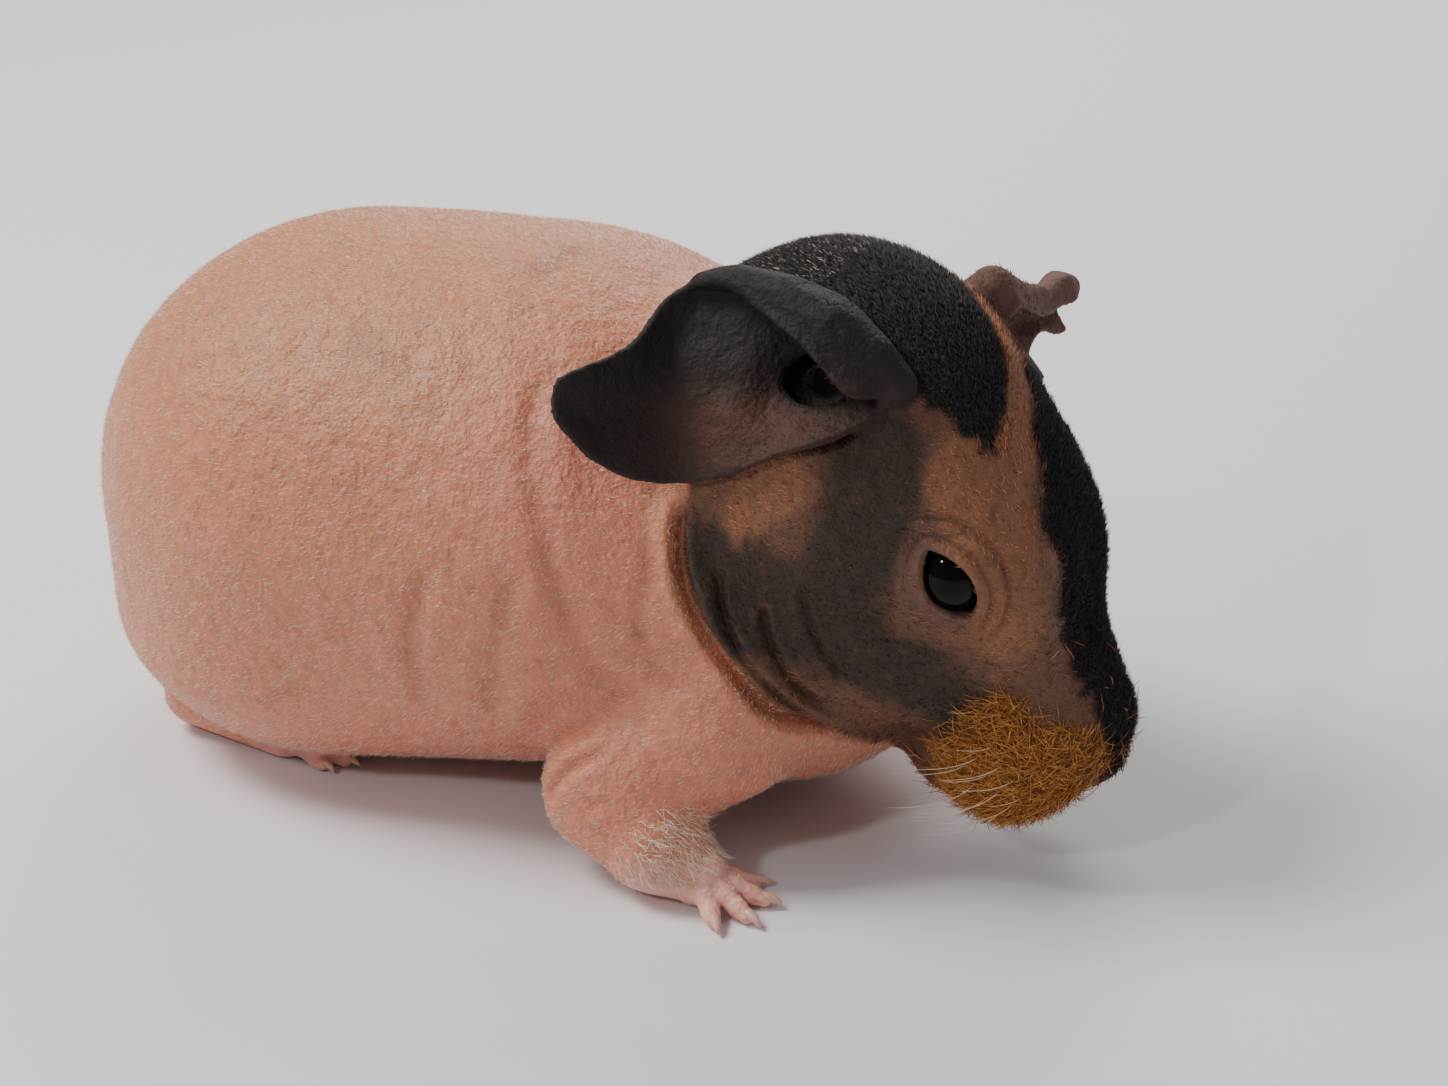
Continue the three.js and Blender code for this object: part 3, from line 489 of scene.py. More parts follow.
def ear_grid(ear, roll):
    """The distance to one ear and its rolled edge, at each cell of the grid."""
    rows = ear_rows(ear)
    points, quads = ear_mesh(rows)
    grid = openvdb.FloatGrid.createLevelSetFromPolygons(
        (points - SPACE[0]).astype(np.float32),
        quads=quads.astype(np.uint32),
        transform=openvdb.createLinearTransform(CELL),
        halfWidth=5,
    )
    values = np.full(SPACE[1], FAR, np.float32)
    grid.copyToArray(values)
    column = int(ROLL_PLACE * (rows.shape[1] - 1))
    spots = [(rows[2 + int(share * (len(rows) - 3)), column], r) for share, r in roll]
    ends = np.array([at for at, _ in spots])
    first = np.maximum(np.floor((ends.min(0) - 5 - SPACE[0]) / CELL).astype(int), 0)
    last = np.minimum(np.ceil((ends.max(0) + 5 - SPACE[0]) / CELL).astype(int), SPACE[1])
    window = tuple(slice(a, b) for a, b in zip(first, last))
    p = lattice(*[np.arange(a, b) for a, b in zip(first, last)]) * CELL + SPACE[0]
    tube = np.full(len(p), 9.0)
    for (a, ra), (b, rb) in zip(spots, spots[1:]):
        tube = np.minimum(tube, taper(p, a, b, ra, rb))
    tube = np.clip(tube.reshape(values[window].shape), -FAR, FAR)
    values[window] = np.clip(blend(values[window], tube, 1.2), -FAR, FAR)
    return values


def grid_value(values, p):
    q = (p - SPACE[0]) / CELL
    cell = np.clip(np.floor(q).astype(int), 0, np.array(values.shape) - 2)
    f = q - cell
    total = np.zeros(len(p))
    for n in range(8):
        step = np.array(((n >> 2) & 1, (n >> 1) & 1, n & 1))
        total += np.prod(np.where(step, f, 1 - f), 1) * values[tuple((cell + step).T)]
    return total


def slope(field, p, step=0.06):
    base = field(p)
    return base, np.stack([(field(p + np.eye(3)[k] * step) - base) / step for k in range(3)], 1)


def project(p, free):
    """Move the free points onto the field's surface."""
    for _ in range(2):
        d, g = slope(body_field, p[free])
        move = g * (d / np.maximum((g * g).sum(1), 0.25))[:, None]
        p[free] -= np.clip(move, -0.3, 0.3)
    return p


def mesh_of(name, points, faces, slot):
    """A piece of the model from points in millimetres and a list or array of faces."""
    data = bpy.data.meshes.new(name)
    mixed = isinstance(faces, list)
    sizes = np.array([len(f) for f in faces]) if mixed else np.full(len(faces), faces.shape[1])
    loops = np.concatenate(faces) if mixed else faces.ravel()
    data.vertices.add(len(points))
    data.vertices.foreach_set("co", ((points + SHIFT) * MM).astype(np.float32).ravel())
    data.loops.add(len(loops))
    data.loops.foreach_set("vertex_index", loops.astype(np.int32))
    data.polygons.add(len(sizes))
    starts = np.concatenate(((0,), np.cumsum(sizes)[:-1]))
    data.polygons.foreach_set("loop_start", starts.astype(np.int32))
    data.update(calc_edges=True)
    data.polygons.foreach_set("use_smooth", np.ones(len(sizes), bool))
    made = bpy.data.objects.new(name, data)
    bpy.context.scene.collection.objects.link(made)
    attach(made, "root")
    return made


# Seeded value noise on a lattice, from -1 to 1
LATTICE = np.random.default_rng(11).random((64, 64, 64)).astype(np.float32)


def noise(p, size, offset=0.0):
    q = p / size + offset
    cell = np.floor(q).astype(int)
    f = q - cell
    f = f * f * (3 - 2 * f)
    total = np.zeros(len(p))
    for n in range(8):
        step = np.array(((n >> 2) & 1, (n >> 1) & 1, n & 1))
        total += np.prod(np.where(step, f, 1 - f), 1) * LATTICE[tuple(((cell + step) & 63).T)]
    return 2 * total - 1


def layered_noise(p, size, offset=0.0):
    coarse = noise(p, size, offset)
    middle = noise(p, size / 2, offset + 7)
    fine = noise(p, size / 4, offset + 13)
    return (coarse + 0.5 * middle + 0.25 * fine) / 1.75


def fold_lines():
    """Each crease and its mirror image; those of the head are mirrored in the head's frame."""
    for n, (points, depth, width, bulge) in enumerate(FOLDS):
        line = spline(points, np.linspace(0, 1, FOLD_POINTS))
        yield line, depth, width, bulge, 1
        if n < HEAD_FOLDS:
            yield from_head(to_head(line) * (1, -1, 1)), depth, width, bulge, -1
        else:
            yield line * (1, -1, 1), depth, width, bulge, -1


def add_folds(p, normal):
    """The points with creases, lid rings and warts, and how deep in a crease each one is."""
    lift = np.zeros(len(p))
    crease = np.zeros(len(p))
    for line, depth, width, bulge, side in fold_lines():
        reach = width * 6
        near = np.where(((p > line.min(0) - reach) & (p < line.max(0) + reach)).all(1))[0]
        best = np.full(len(near), 1e9)
        across = np.zeros(len(near))
        along = np.zeros(len(near))
        for n in range(len(line) - 1):
            a, step = line[n], line[n + 1] - line[n]
            t = np.clip((p[near] - a) @ step / (step @ step), 0, 1)
            offset = p[near] - a - t[:, None] * step
            d = length(offset)
            closer = d < best
            sign = np.sign((np.cross(step, offset) * normal[near]).sum(1)) * side
            best = np.where(closer, d, best)
            across = np.where(closer, sign * d, across)
            along = np.where(closer, (n + t) / (len(line) - 1), along)
        fade = smooth(0, 0.18, along) * smooth(0, 0.18, 1 - along)
        wave = 1 + 0.25 * noise(p[near], 5.0, 3.0)
        groove = np.exp(-((across / width) ** 2)) * fade * wave
        ahead = np.exp(-(((across - 1.9 * width) / (1.5 * width)) ** 2))
        behind = np.exp(-(((across + 1.9 * width) / (1.5 * width)) ** 2))
        lift[near] += -depth * groove + bulge * fade * (ahead + 0.4 * behind)
        crease[near] = np.maximum(crease[near], groove * min(depth, 1))
    q = fold_y(to_head(p))
    near = np.where(length(q - EYE_CENTRE) < 11)[0]
    rim = lid_rim(q[near])
    below = smooth(1.0, -1.5, ((q[near] - EYE_CENTRE) @ EYE_AXES.T)[:, 1])
    rings = (
        (0.65, 0.4, 0.16),
        (1.7, 0.3, -0.32),
        (2.7, 0.5, 0.2),
        (3.7, 0.35, -0.3 * below),
        (4.8, 0.6, 0.14),
    )
    for place, width, rise in rings:
        ring = np.exp(-(((rim - place) / width) ** 2)) * (0.55 + 0.45 * below)
        lift[near] += ring * rise
        crease[near] = np.maximum(crease[near], ring * (rise < 0) * 0.55)
    for spot, width, rise in WARTS:
        lift += rise * np.exp(-((length(p - from_head(spot)) / width) ** 2))
    return p + normal * lift[:, None], crease


def linear(*rgb):
    c = np.array(rgb, float) / 255
    return np.where(c <= 0.04045, c / 12.92, ((c + 0.055) / 1.055) ** 2.4)


PINK = linear(200, 128, 97)
TAN_BACK = linear(184, 118, 82)
BLUSH = linear(220, 134, 114)
FRECKLE = linear(136, 88, 64)
HEAD_BROWN = linear(106, 72, 56)
DARK_CHEEK = linear(56, 42, 34)
BLACK = linear(34, 31, 31)
TAN = linear(134, 87, 62)
GOLD = linear(150, 98, 46)
LID = linear(104, 72, 62)
TOE_PINK = linear(234, 168, 156)
EAR_DARK = linear(36, 26, 22)
EAR_RED = linear(74, 36, 23)
EAR_TAN = linear(94, 63, 51)
NOSE_DARK = linear(50, 38, 36)

# A darker spot on the back
BACK_SPOT = (-16, -3, 70)

# Markings in the head's frame: points with a radius, for the animal's right
CAP = ((-30, -4, 6, 11), (-25, -3, 11, 10.5), (-17, -4, 15, 11), (-9, -6, 17, 8.5),
       (-2, -8.5, 16.8, 5), (1.5, -9.8, 16.4, 2.6))
BLAZE = ((2.5, 5.5, 17.5, 3.6), (9, 2, 15.5, 6.5), (16, 0, 13, 9.3), (22, 0, 10, 10), (29, 0, 5, 7.6),
         (37, 0, 1.5, 6.2), (42.5, 0, -0.8, 4.3))
CHEEK_MARK = ((-6.8, -22.5, -14.5, 6.5), (0.5, -21.9, -15.6, 6.5), (10, -18.9, -10.5, 6),
              (17, -16.5, -9, 5.5), (24.4, -12.7, -8.5, 4.8), (27.5, -12, -11, 4))
TEMPLE_MARK = ((-5, -18.5, 8.5, 6), (1.1, -20.3, 0, 6), (6, -19.5, -8, 5))
FOREHEAD = ((3.7, -13.3, 14, 6.2), (13.1, -15.6, 9.8, 5.5), (21.7, -14.1, 3.3, 4))
STRIPE = ((-8, 5.1, 19.6, 2.2), (0.6, -1.6, 18.6, 2), (5, -7, 17, 3.5))
JOWL_PATCH = ((-10.1, -21.6, -2.4, 4), (-9.4, -22.3, -9.6, 3))
MUZZLE_GOLD = ((29.8, -11, -6, 3), (33.5, -10.5, -9, 5.5), (33, -10.5, -14, 5), (38, -9, -14, 6),
               (38.5, -8, -6, 5.5), (44, -2.9, -5.5, 4.5), (41, -3, -15, 5.5))
JOWL_LINE = ((-24, 10), (-20, -3), (-16.4, -12.4), (-13.7, -16.1), (-10.1, -19.0), (-5.6, -21.2),
             (0, -22.6), (8, -23.4), (16, -23.6), (24, -24))


def chain(q, spots):
    """The distance to a row of balls joined by cones."""
    d = np.full(len(q), 1e3)
    for a, b in zip(spots, spots[1:]):
        d = np.minimum(d, taper(q, a[:3], b[:3], a[3], b[3]))
    return d


def markings(p, ear_side, ear_face):
    """Colour, the share of black marking and the share of head at points of the animal."""
    rough = layered_noise(p, 6.0, 1.0)
    fine = noise(p, 1.3, 5.0)
    q = to_head(p)
    mirror = np.where(q[:, 1] > 0, -1.0, 1.0)
    r = q.copy()
    r[:, 1] *= mirror
    r[:, 0] += np.where(mirror < 0, 2.5 * noise(p, 14, 9), 0)
    colour = np.tile(PINK, (len(p), 1))

    def paint(tone, share):
        colour[:] = colour + (tone - colour) * np.clip(share, 0, 1)[:, None]

    def mark(spots, soft, ragged, where):
        return smooth(soft, -soft, chain(where, spots) + ragged * rough + 0.8 * fine)

    paint(TAN_BACK, smooth(30, 66, p[:, 2] + 6 * rough) * 0.8)
    paint(BLUSH, np.exp(-(((p[:, 0] + 6) / 14) ** 2) - ((p[:, 2] - 50) / 16) ** 2) * 0.55)
    paint(BLUSH, smooth(26, 8, p[:, 2]) * 0.4)
    paint(FRECKLE, smooth(0.25, 0.75, layered_noise(p, 2.4, 21)) * 0.4)
    paint(FRECKLE, smooth(0.2, 0.7, layered_noise(p, 9, 31)) * smooth(40, 64, p[:, 2]) * 0.45)
    paint(FRECKLE, smooth(4, 0, length(p - BACK_SPOT)) * 0.7)

    on_head = smooth(0.7, -0.7, chain_head(q) + 0.4 * rough)
    paint(HEAD_BROWN, on_head)
    paint(TAN, on_head * smooth(-0.1, 0.6, layered_noise(p, 5, 61)) * 0.5)
    paint(DARK_CHEEK, mark(CHEEK_MARK, 2.2, 2.0, r) * on_head)
    paint(DARK_CHEEK, mark(TEMPLE_MARK, 2.2, 2.0, r) * on_head)
    paint(TAN, mark(JOWL_PATCH, 1.6, 1.5, r) * on_head)
    paint(LID, smooth(8.5, 6.2, length(fold_y(q) - EYE_CENTRE)) * 0.8)
    paint(TAN, mark(FOREHEAD, 1.6, 2.0, r))
    paint(DARK_CHEEK, on_head * smooth(0.15, 0.75, layered_noise(p, 1.6, 71)) * 0.45)
    paint(GOLD, mark(MUZZLE_GOLD, 2.2, 1.5, r) * 0.85)
    paint(TAN * 0.8, on_head * smooth(0.15, 0.8, layered_noise(p, 1.1, 81)) * 0.35)
    cap = mark(CAP, 0.6, 1.6, q)
    paint(BLACK, cap)
    paint(TAN, mark(STRIPE, 0.6, 0.8, q))
    blaze = mark(BLAZE, 0.6, 1.6, q)
    paint(BLACK, blaze)
    paint(NOSE_DARK, smooth(3, 1.5, ellipsoid(q, NOSE_PAD)) * 0.7)
    paint(TOE_PINK, smooth(9, 5, p[:, 2]) * smooth(26, 30, np.abs(p[:, 1])) * smooth(0, 6, p[:, 0]))
    paint(TOE_PINK, smooth(1.5, 0, hind_field(p)) * smooth(-60, -52, p[:, 0]))

    local = to_ear(p)
    streaks = layered_noise(local * (0.45, 1.8, 1), 2.4, 41)
    glow = np.exp(-(((local[:, 0] - 16) / 11) ** 2) - ((local[:, 1] + 5) / 6) ** 2)
    red = np.clip(glow * (0.85 + 0.5 * streaks), 0, 1) * ear_face
    tone = EAR_DARK * (1 + 0.35 * rough[:, None]) + (EAR_RED - EAR_DARK) * red[:, None]
    left = smooth(-2, 2, q[:, 1])
    ear_side = np.maximum(ear_side, smooth(3, 0.5, ellipsoid(local, EAR_BOWL)) * (1 - left))
    hollow = np.maximum(ear_face, smooth(1, 0, ellipsoid(local, EAR_BOWL)))
    # Painted shadow: the upper part of the ear's hollow, under the rolled edge, is darkened by up to a half
    painted_roll_shadow = hollow * smooth(-3, 2.5, local[:, 1] + 1.5 * streaks)
    tone = tone * (1 - 0.5 * painted_roll_shadow[:, None])
    knob = smooth(0.1, 0.7, layered_noise(p, 3, 43)) * 0.5
    brown = EAR_TAN + (EAR_DARK - EAR_TAN) * np.maximum(knob, smooth(6, -2, q[:, 1]))[:, None]
    tone = tone + (brown - tone) * left[:, None]
    colour[:] = colour + (tone - colour) * ear_side[:, None]
    # Painted shadow: the ear canal is darkened to near black
    paint(BLACK * 0.3, smooth(3.2, 0, ellipsoid(local, CANAL)) * 0.9)
    return colour, np.maximum(cap, blaze), on_head


def chain_head(q):
    """About the distance to the part of the head that lies before the jowl crease."""
    edge = np.array(JOWL_LINE)
    floor = np.interp(q[:, 0], edge[:, 0], edge[:, 1], left=40)
    return np.maximum((floor - q[:, 2]) * 0.75, length((q - (8, 0, -2)) / (1, 0.8, 0.8)) - 44)


# The skin
dense = sample_field(body_field)
ear_values = np.full(SPACE[1], FAR, np.float32)
for side, ear in EARS.items():
    ear_values = np.minimum(ear_values, ear_grid(ear, EAR_ROLL[side]))
close = ear_values < FAR - 0.01
dense[close] = blend(dense[close], ear_values[close], 1.3)
near_canal = np.stack(np.nonzero(close), 1) * CELL + SPACE[0]
dense[close] = carve(dense[close], ellipsoid(to_ear(near_canal), CANAL), 2)
grid = openvdb.FloatGrid(FAR)
grid.copyFromArray(dense)
grid.transform = openvdb.createLinearTransform(CELL)
points, quads = grid.convertToQuads(isovalue=0)
points = points.astype(float) + SPACE[0]
quads = quads.astype(int)
a, b, c = points[quads[:, 0]], points[quads[:, 1]], points[quads[:, 2]]
if (a * np.cross(b, c)).sum() < 0:
    quads = quads[:, ::-1]
free = grid_value(ear_values, points) > 1.6
points = project(points, free)

refine = bmesh.new()
seed = mesh_of("skin_seed", points - SHIFT, quads, "body_skin")
refine.from_mesh(seed.data)
bpy.data.objects.remove(seed)


SNOUT = (40, 2, -10)


def near_face(p):
    """Where the skin gets finer faces: the eyes, the mouth, the nose and the narrow creases."""
    q = fold_y(to_head(p))
    near = (length(q - EYE_CENTRE) < 8.5) | (length(q - SNOUT) < 10)
    for line, _, width, _, _ in fold_lines():
        for spot in line[::3] if width < 1 else ():
            near |= ((p - spot) ** 2).sum(1) < 7
    return near


centres = np.array([f.calc_center_median() for f in refine.faces]) / MM
chosen = near_face(centres)
edges = {e for f, pick in zip(refine.faces, chosen) if pick for e in f.edges}
bmesh.ops.subdivide_edges(refine, edges=list(edges), cuts=1, use_grid_fill=True)
points = np.array([v.co for v in refine.verts]) / MM
refine.verts.index_update()
faces = [np.array([v.index for v in f.verts]) for f in refine.faces]
refine.free()
free = grid_value(ear_values, points) > 1.6
points = project(points, free)


def vertex_normals(p, faces):
    normal = np.zeros_like(p)
    for size in {len(f) for f in faces}:
        f = np.array([x for x in faces if len(x) == size])
        spokes = [p[f[:, k]] - p[f[:, 0]] for k in range(1, size)]
        n = sum(np.cross(a, b) for a, b in zip(spokes, spokes[1:]))
        for k in range(size):
            np.add.at(normal, f[:, k], n)
    return unit(normal)


def set_tone(made, tones):
    """Store a colour at each vertex, for the materials to read."""
    values = np.concatenate((tones, np.ones((len(tones), 1))), 1).astype(np.float32)
    attribute = made.data.color_attributes.new("tone", "FLOAT_COLOR", "POINT")
    attribute.data.foreach_set("color", values.ravel())


normals = vertex_normals(points, faces)
points, crease = add_folds(points, normals)
soft = layered_noise(points, 9.0, 17.0) * 0.25 * smooth(5, 12, points[:, 2])
ear_near = smooth(1.0, 0.2, grid_value(ear_values, points))
points += normals * (soft * (1 - ear_near) + 0.12 * noise(points, 2.2, 23) * ear_near)[:, None]
skin = mesh_of("skin", points, faces, "body_skin")
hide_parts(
    "torso", "neck", "head", "ear_right", "ear_left", "foreleg_left", "foreleg_right",
    "forefoot_left", "forefoot_right", "haunch_left", "haunch_right", "hindfoot_left", "hindfoot_right",
)
normals = vertex_normals(points, faces)
outward = {name: np.array(ear["axes"][2]) for name, ear in EARS.items()}
facing = np.where(points[:, 1] < HEAD_CENTRE[1], normals @ outward["right"], normals @ outward["left"])
colours, dark, on_head = markings(points, ear_near, smooth(-0.1, 0.5, facing))

# Creases get painted shade, darker the deeper they are, and the head and the ears are duller than the body
CREASE_SHADE = np.array((0.3, 0.34, 0.35))
BODY_ROUGHNESS, HEAD_EXTRA, EAR_ROUGHNESS = 0.47, 0.2, 0.72
colours *= 1 - np.clip(crease, 0, 1)[:, None] * CREASE_SHADE
roughness = BODY_ROUGHNESS + HEAD_EXTRA * on_head + 0.06 * noise(points, 3, 53)
roughness = roughness + (EAR_ROUGHNESS - roughness) * ear_near
matt = skin.data.attributes.new("matt", "FLOAT", "POINT")
matt.data.foreach_set("value", roughness.astype(np.float32))
set_tone(skin, colours)


# Materials
def shader(name, base=None, **sockets):
    made = bpy.data.materials.new(name)
    made.use_nodes = True
    tree = made.node_tree
    principled = tree.nodes["Principled BSDF"]
    if base is not None:
        principled.inputs["Base Color"].default_value = (*base, 1)
    for key, value in sockets.items():
        principled.inputs[key.replace("_", " ")].default_value = value
    return made, tree, principled


def noise_node(tree, scale, detail=3.0, roughness=0.55):
    node = tree.nodes.new("ShaderNodeTexNoise")
    node.inputs["Scale"].default_value = scale
    node.inputs["Detail"].default_value = detail
    node.inputs["Roughness"].default_value = roughness
    place = tree.nodes.new("ShaderNodeTexCoord")
    tree.links.new(place.outputs["Object"], node.inputs["Vector"])
    return node


def bump(tree, principled, layers):
    last = None
    for source, strength, distance in layers:
        node = tree.nodes.new("ShaderNodeBump")
        node.inputs["Strength"].default_value = strength
        node.inputs["Distance"].default_value = distance
        tree.links.new(source, node.inputs["Height"])
        if last:
            tree.links.new(last.outputs["Normal"], node.inputs["Normal"])
        last = node
    tree.links.new(last.outputs["Normal"], principled.inputs["Normal"])


def toned(tree, principled, spots, low, high):
    tone = tree.nodes.new("ShaderNodeVertexColor")
    tone.layer_name = "tone"
    spread = tree.nodes.new("ShaderNodeMapRange")
    spread.inputs["From Min"].default_value = 0.3
    spread.inputs["From Max"].default_value = 0.7
    spread.inputs["To Min"].default_value = low
    spread.inputs["To Max"].default_value = high
    tree.links.new(spots.outputs["Fac"], spread.inputs["Value"])
    mix = tree.nodes.new("ShaderNodeVectorMath")
    mix.operation = "SCALE"
    tree.links.new(tone.outputs["Color"], mix.inputs[0])
    tree.links.new(spread.outputs["Result"], mix.inputs["Scale"])
    tree.links.new(mix.outputs["Vector"], principled.inputs["Base Color"])


skin_look, tree, principled = shader(
    "skin", Roughness=0.5, Subsurface_Weight=0.12, Subsurface_Scale=0.0015, Specular_IOR_Level=0.4
)
principled.inputs["Subsurface Radius"].default_value = (1.0, 0.35, 0.2)
toned(tree, principled, noise_node(tree, 700, 4), 0.86, 1.14)
matt = tree.nodes.new("ShaderNodeAttribute")
matt.attribute_name = "matt"
tree.links.new(matt.outputs["Fac"], principled.inputs["Roughness"])
pores = tree.nodes.new("ShaderNodeTexVoronoi")
pores.inputs["Scale"].default_value = 1500
tree.links.new(tree.nodes["Texture Coordinate"].outputs["Object"], pores.inputs["Vector"])
bump(
    tree,
    principled,
    (
        (noise_node(tree, 260, 4, 0.6).outputs["Fac"], 0.8, 0.0011),
        (noise_node(tree, 1100, 3, 0.6).outputs["Fac"], 0.6, 0.0004),
        (pores.outputs["Distance"], 0.4, 0.0002),
    ),
)
skin.data.materials.append(skin_look)

# Eyes: dark, wet balls, a little raised in front
eye_look = shader("eye", linear(14, 10, 8), Roughness=0.03, Specular_IOR_Level=0.12)[0]


def ball(side):
    """The points and faces of one eye, in rings about its axis."""
    rows, n = 38, 64
    u, v = np.meshgrid(
        np.linspace(0, 2 * np.pi, n, endpoint=False), np.linspace(0, np.pi, rows + 2)[1:-1]
    )
    local = np.stack((np.sin(v) * np.cos(u), np.sin(v) * np.sin(u), np.cos(v)), -1).reshape(-1, 3)
    local = np.concatenate((local, ((0, 0, 1), (0, 0, -1))))
    local[:, 2] += 0.05 * np.exp(-(((np.arccos(np.clip(local[:, 2], -1, 1))) / 0.6) ** 2))
    p = from_head(local * EYE_RADIUS @ eye_axes(side) + mirrored(EYE_CENTRE, side))
    i, j = np.meshgrid(np.arange(rows - 1), np.arange(n), indexing="ij")
    a = (i * n + j).ravel()
    b = (i * n + (j + 1) % n).ravel()
    faces = list(np.stack((a, a + n, b + n, b), 1))
    top, bottom = rows * n, rows * n + 1
    for j in range(n):
        faces.append(np.array((top, j, (j + 1) % n)))
        faces.append(np.array((bottom, (rows - 1) * n + (j + 1) % n, (rows - 1) * n + j)))
    return p, faces


for name, side in (("left", 1), ("right", -1)):
    eye = mesh_of("eyeball_" + name, *ball(side), "eye")
    eye.data.materials.append(eye_look)
    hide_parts("eye_" + name)


# Spikes: tapered tubes along many paths at once, each with a small patch of the bake map.
# A tube of three sides is closed. A wider one has only one triangle at its base, inside the flesh.
PATCH = 0.003


def spikes(name, slot, paths, radii, tones, charts, sides=3):
    count, rings = paths.shape[0], paths.shape[1] - 1
    tangent = unit(np.gradient(paths, axis=1))
    helper = np.where(np.abs(tangent[..., 2:]) < 0.8, np.array((0.0, 0, 1)), np.array((1.0, 0, 0)))
    across = unit(np.cross(tangent, helper))
    over = np.cross(tangent, across)
    angle = 2 * np.pi * np.arange(sides) / sides
    around = across[:, :rings, None] * np.cos(angle)[:, None]
    around = around + over[:, :rings, None] * np.sin(angle)[:, None]
    body = paths[:, :rings, None] + around * radii[:, :rings, None, None]
    per = rings * sides + 1
    points = np.concatenate((body.reshape(count, -1, 3), paths[:, -1:]), 1).reshape(-1, 3)
    unit_faces = [(sides - 1, sides - 2, sides - 3)]
    for r in range(rings - 1):
        for s in range(sides):
            t = (s + 1) % sides
            a, b, c, d = r * sides + s, r * sides + t, (r + 1) * sides + t, (r + 1) * sides + s
            unit_faces += [(a, b, c), (a, c, d)]
    top = (rings - 1) * sides
    unit_faces += [(top + s, top + (s + 1) % sides, per - 1) for s in range(sides)]
    faces = np.array(unit_faces)[None] + np.arange(count)[:, None, None] * per
    faces = faces.reshape(-1, 3)
    made = mesh_of(name, points, faces, slot)
    set_tone(made, np.repeat(tones, per, 0))
    offset = np.zeros((per, 2))
    for r in range(rings):
        for s in range(sides):
            offset[r * sides + s] = ((s + 0.5) / sides - 0.5, r / rings - 0.5)
    offset[-1] = (0, 0.5)
    chart = (charts[:, None] + offset[None] * PATCH).reshape(-1, 2)
    layer = made.data.uv_layers.new(name="OFBake")
    layer.data.foreach_set("uv", chart[faces.ravel()].astype(np.float32).ravel())
    return made


# Coat
skin.data.calc_loop_triangles()
triangles = np.zeros(len(skin.data.loop_triangles) * 3, np.int32)
skin.data.loop_triangles.foreach_get("vertices", triangles)
triangles = triangles.reshape(-1, 3)
corner = points[triangles]
areas = length(np.cross(corner[:, 1] - corner[:, 0], corner[:, 2] - corner[:, 0])) / 2

# How deep hairs are rooted and how far off the floor they stay, and the two bake charts
HAIR_DEPTH = 0.12
HAIR_FLOOR = 0.12
CHART_START, CHART_LENGTH, AXIS_HEIGHT = -88, 152, 32
CHART_CENTRE = (4, 0, -4)
CHART_SHARE = 0.98


def roots(count, weight, rng):
    """Random points of the skin, with its normal and its colour there."""
    share = areas * weight[triangles].mean(1)
    pick = rng.choice(len(triangles), count, p=share / share.sum())
    a, b = rng.random((2, count))
    flip = a + b > 1
    a[flip], b[flip] = 1 - a[flip], 1 - b[flip]
    w = np.stack((1 - a - b, a, b), 1)[..., None]
    at = (points[triangles[pick]] * w).sum(1)
    return at, unit((normals[triangles[pick]] * w).sum(1)), (colours[triangles[pick]] * w).sum(1)


def hairs(at, normal, flow, lift, size, bend, rings, rng, spread):
    """Curved paths from points just inside the skin, lying along the flow and off the floor."""
    flow = flow + rng.normal(0, spread, flow.shape)
    flow = unit(flow - normal * (flow * normal).sum(1)[:, None])
    direction = unit(flow * np.cos(lift)[:, None] + normal * np.sin(lift)[:, None])
    t = np.linspace(0, 1, rings + 1)[None, :, None]
    curve = flow * bend[:, None] - normal * bend[:, None] * 0.4
    course = direction[:, None] * t + curve[:, None] * t * t * 0.5
    path = at[:, None] - normal[:, None] * HAIR_DEPTH + size[:, None, None] * course
    path[..., 2] = np.maximum(path[..., 2], HAIR_FLOOR)
    return path


def turn_share(a, b):
    return np.arctan2(a, b) / (2 * np.pi) * CHART_SHARE + 0.5


def body_chart(p):
    """The body unrolled about its long axis."""
    return np.stack(((p[:, 0] - CHART_START) / CHART_LENGTH, turn_share(p[:, 1], p[:, 2] - AXIS_HEIGHT)), 1)


def head_chart(p):
    """The head unrolled about the line of the nose."""
    q = to_head(p) - CHART_CENTRE
    down = np.arccos(q[:, 0] / length(q)) / np.pi * CHART_SHARE + 0.01
    return np.stack((turn_share(q[:, 1], q[:, 2]), down), 1)


def head_flow(p):
    q = to_head(p)
    flow = np.stack((-np.ones(len(q)), 0.25 * np.sign(q[:, 1]), -0.35 * np.ones(len(q))), 1)
    return flow @ HEAD_AXES.T


coat_look, tree, principled = shader("coat", Roughness=0.55, Specular_IOR_Level=0.3)
tone = tree.nodes.new("ShaderNodeVertexColor")
tone.layer_name = "tone"
tree.links.new(tone.outputs["Color"], principled.inputs["Base Color"])
q = to_head(points)
eye_gap = length(fold_y(q) - EYE_CENTRE)
furless = smooth(5.6, 7.4, eye_gap) * (1 - np.clip(crease, 0, 1))
head_share = on_head * furless * (1 - 0.8 * ear_near)
muzzle_edge = chain(fold_y(q) * (1, -1, 1), MUZZLE_GOLD) + layered_noise(points, 4, 3)
muzzle_share = smooth(1.5, -1.5, muzzle_edge) * smooth(0.4, 1.6, ellipsoid(q, NOSE_PAD))


def coat(name, count, weight, size, base, lift, flow, rings, seed, tint, chart, bend=0.3, spread=0.35):
    """One coat piece: as many hairs as counted, denser where the weight is high."""
    rng = np.random.default_rng(seed)
    at, normal, tones = roots(count, weight, rng)
    lengths = rng.uniform(*size, count)
    lifts = rng.normal(lift, 0.22, count)
    bends = rng.uniform(0, 2 * bend, count)
    path = hairs(at, normal, flow(at), lifts, lengths, bends, rings, rng, spread)
    thickness = rng.uniform(0.8, 1.2, count) * base
    radii = thickness[:, None] * np.linspace(1, 0.45, rings + 1)[None]
    made = spikes(name, "coat", path, radii, tint(tones, rng), chart(at))
    made.data.materials.append(coat_look)


def own_tint(low, high):
    """The skin's own colour at the root, made darker or paler."""
    return lambda tones, rng: tones * rng.uniform(low, high, (len(tones), 1))


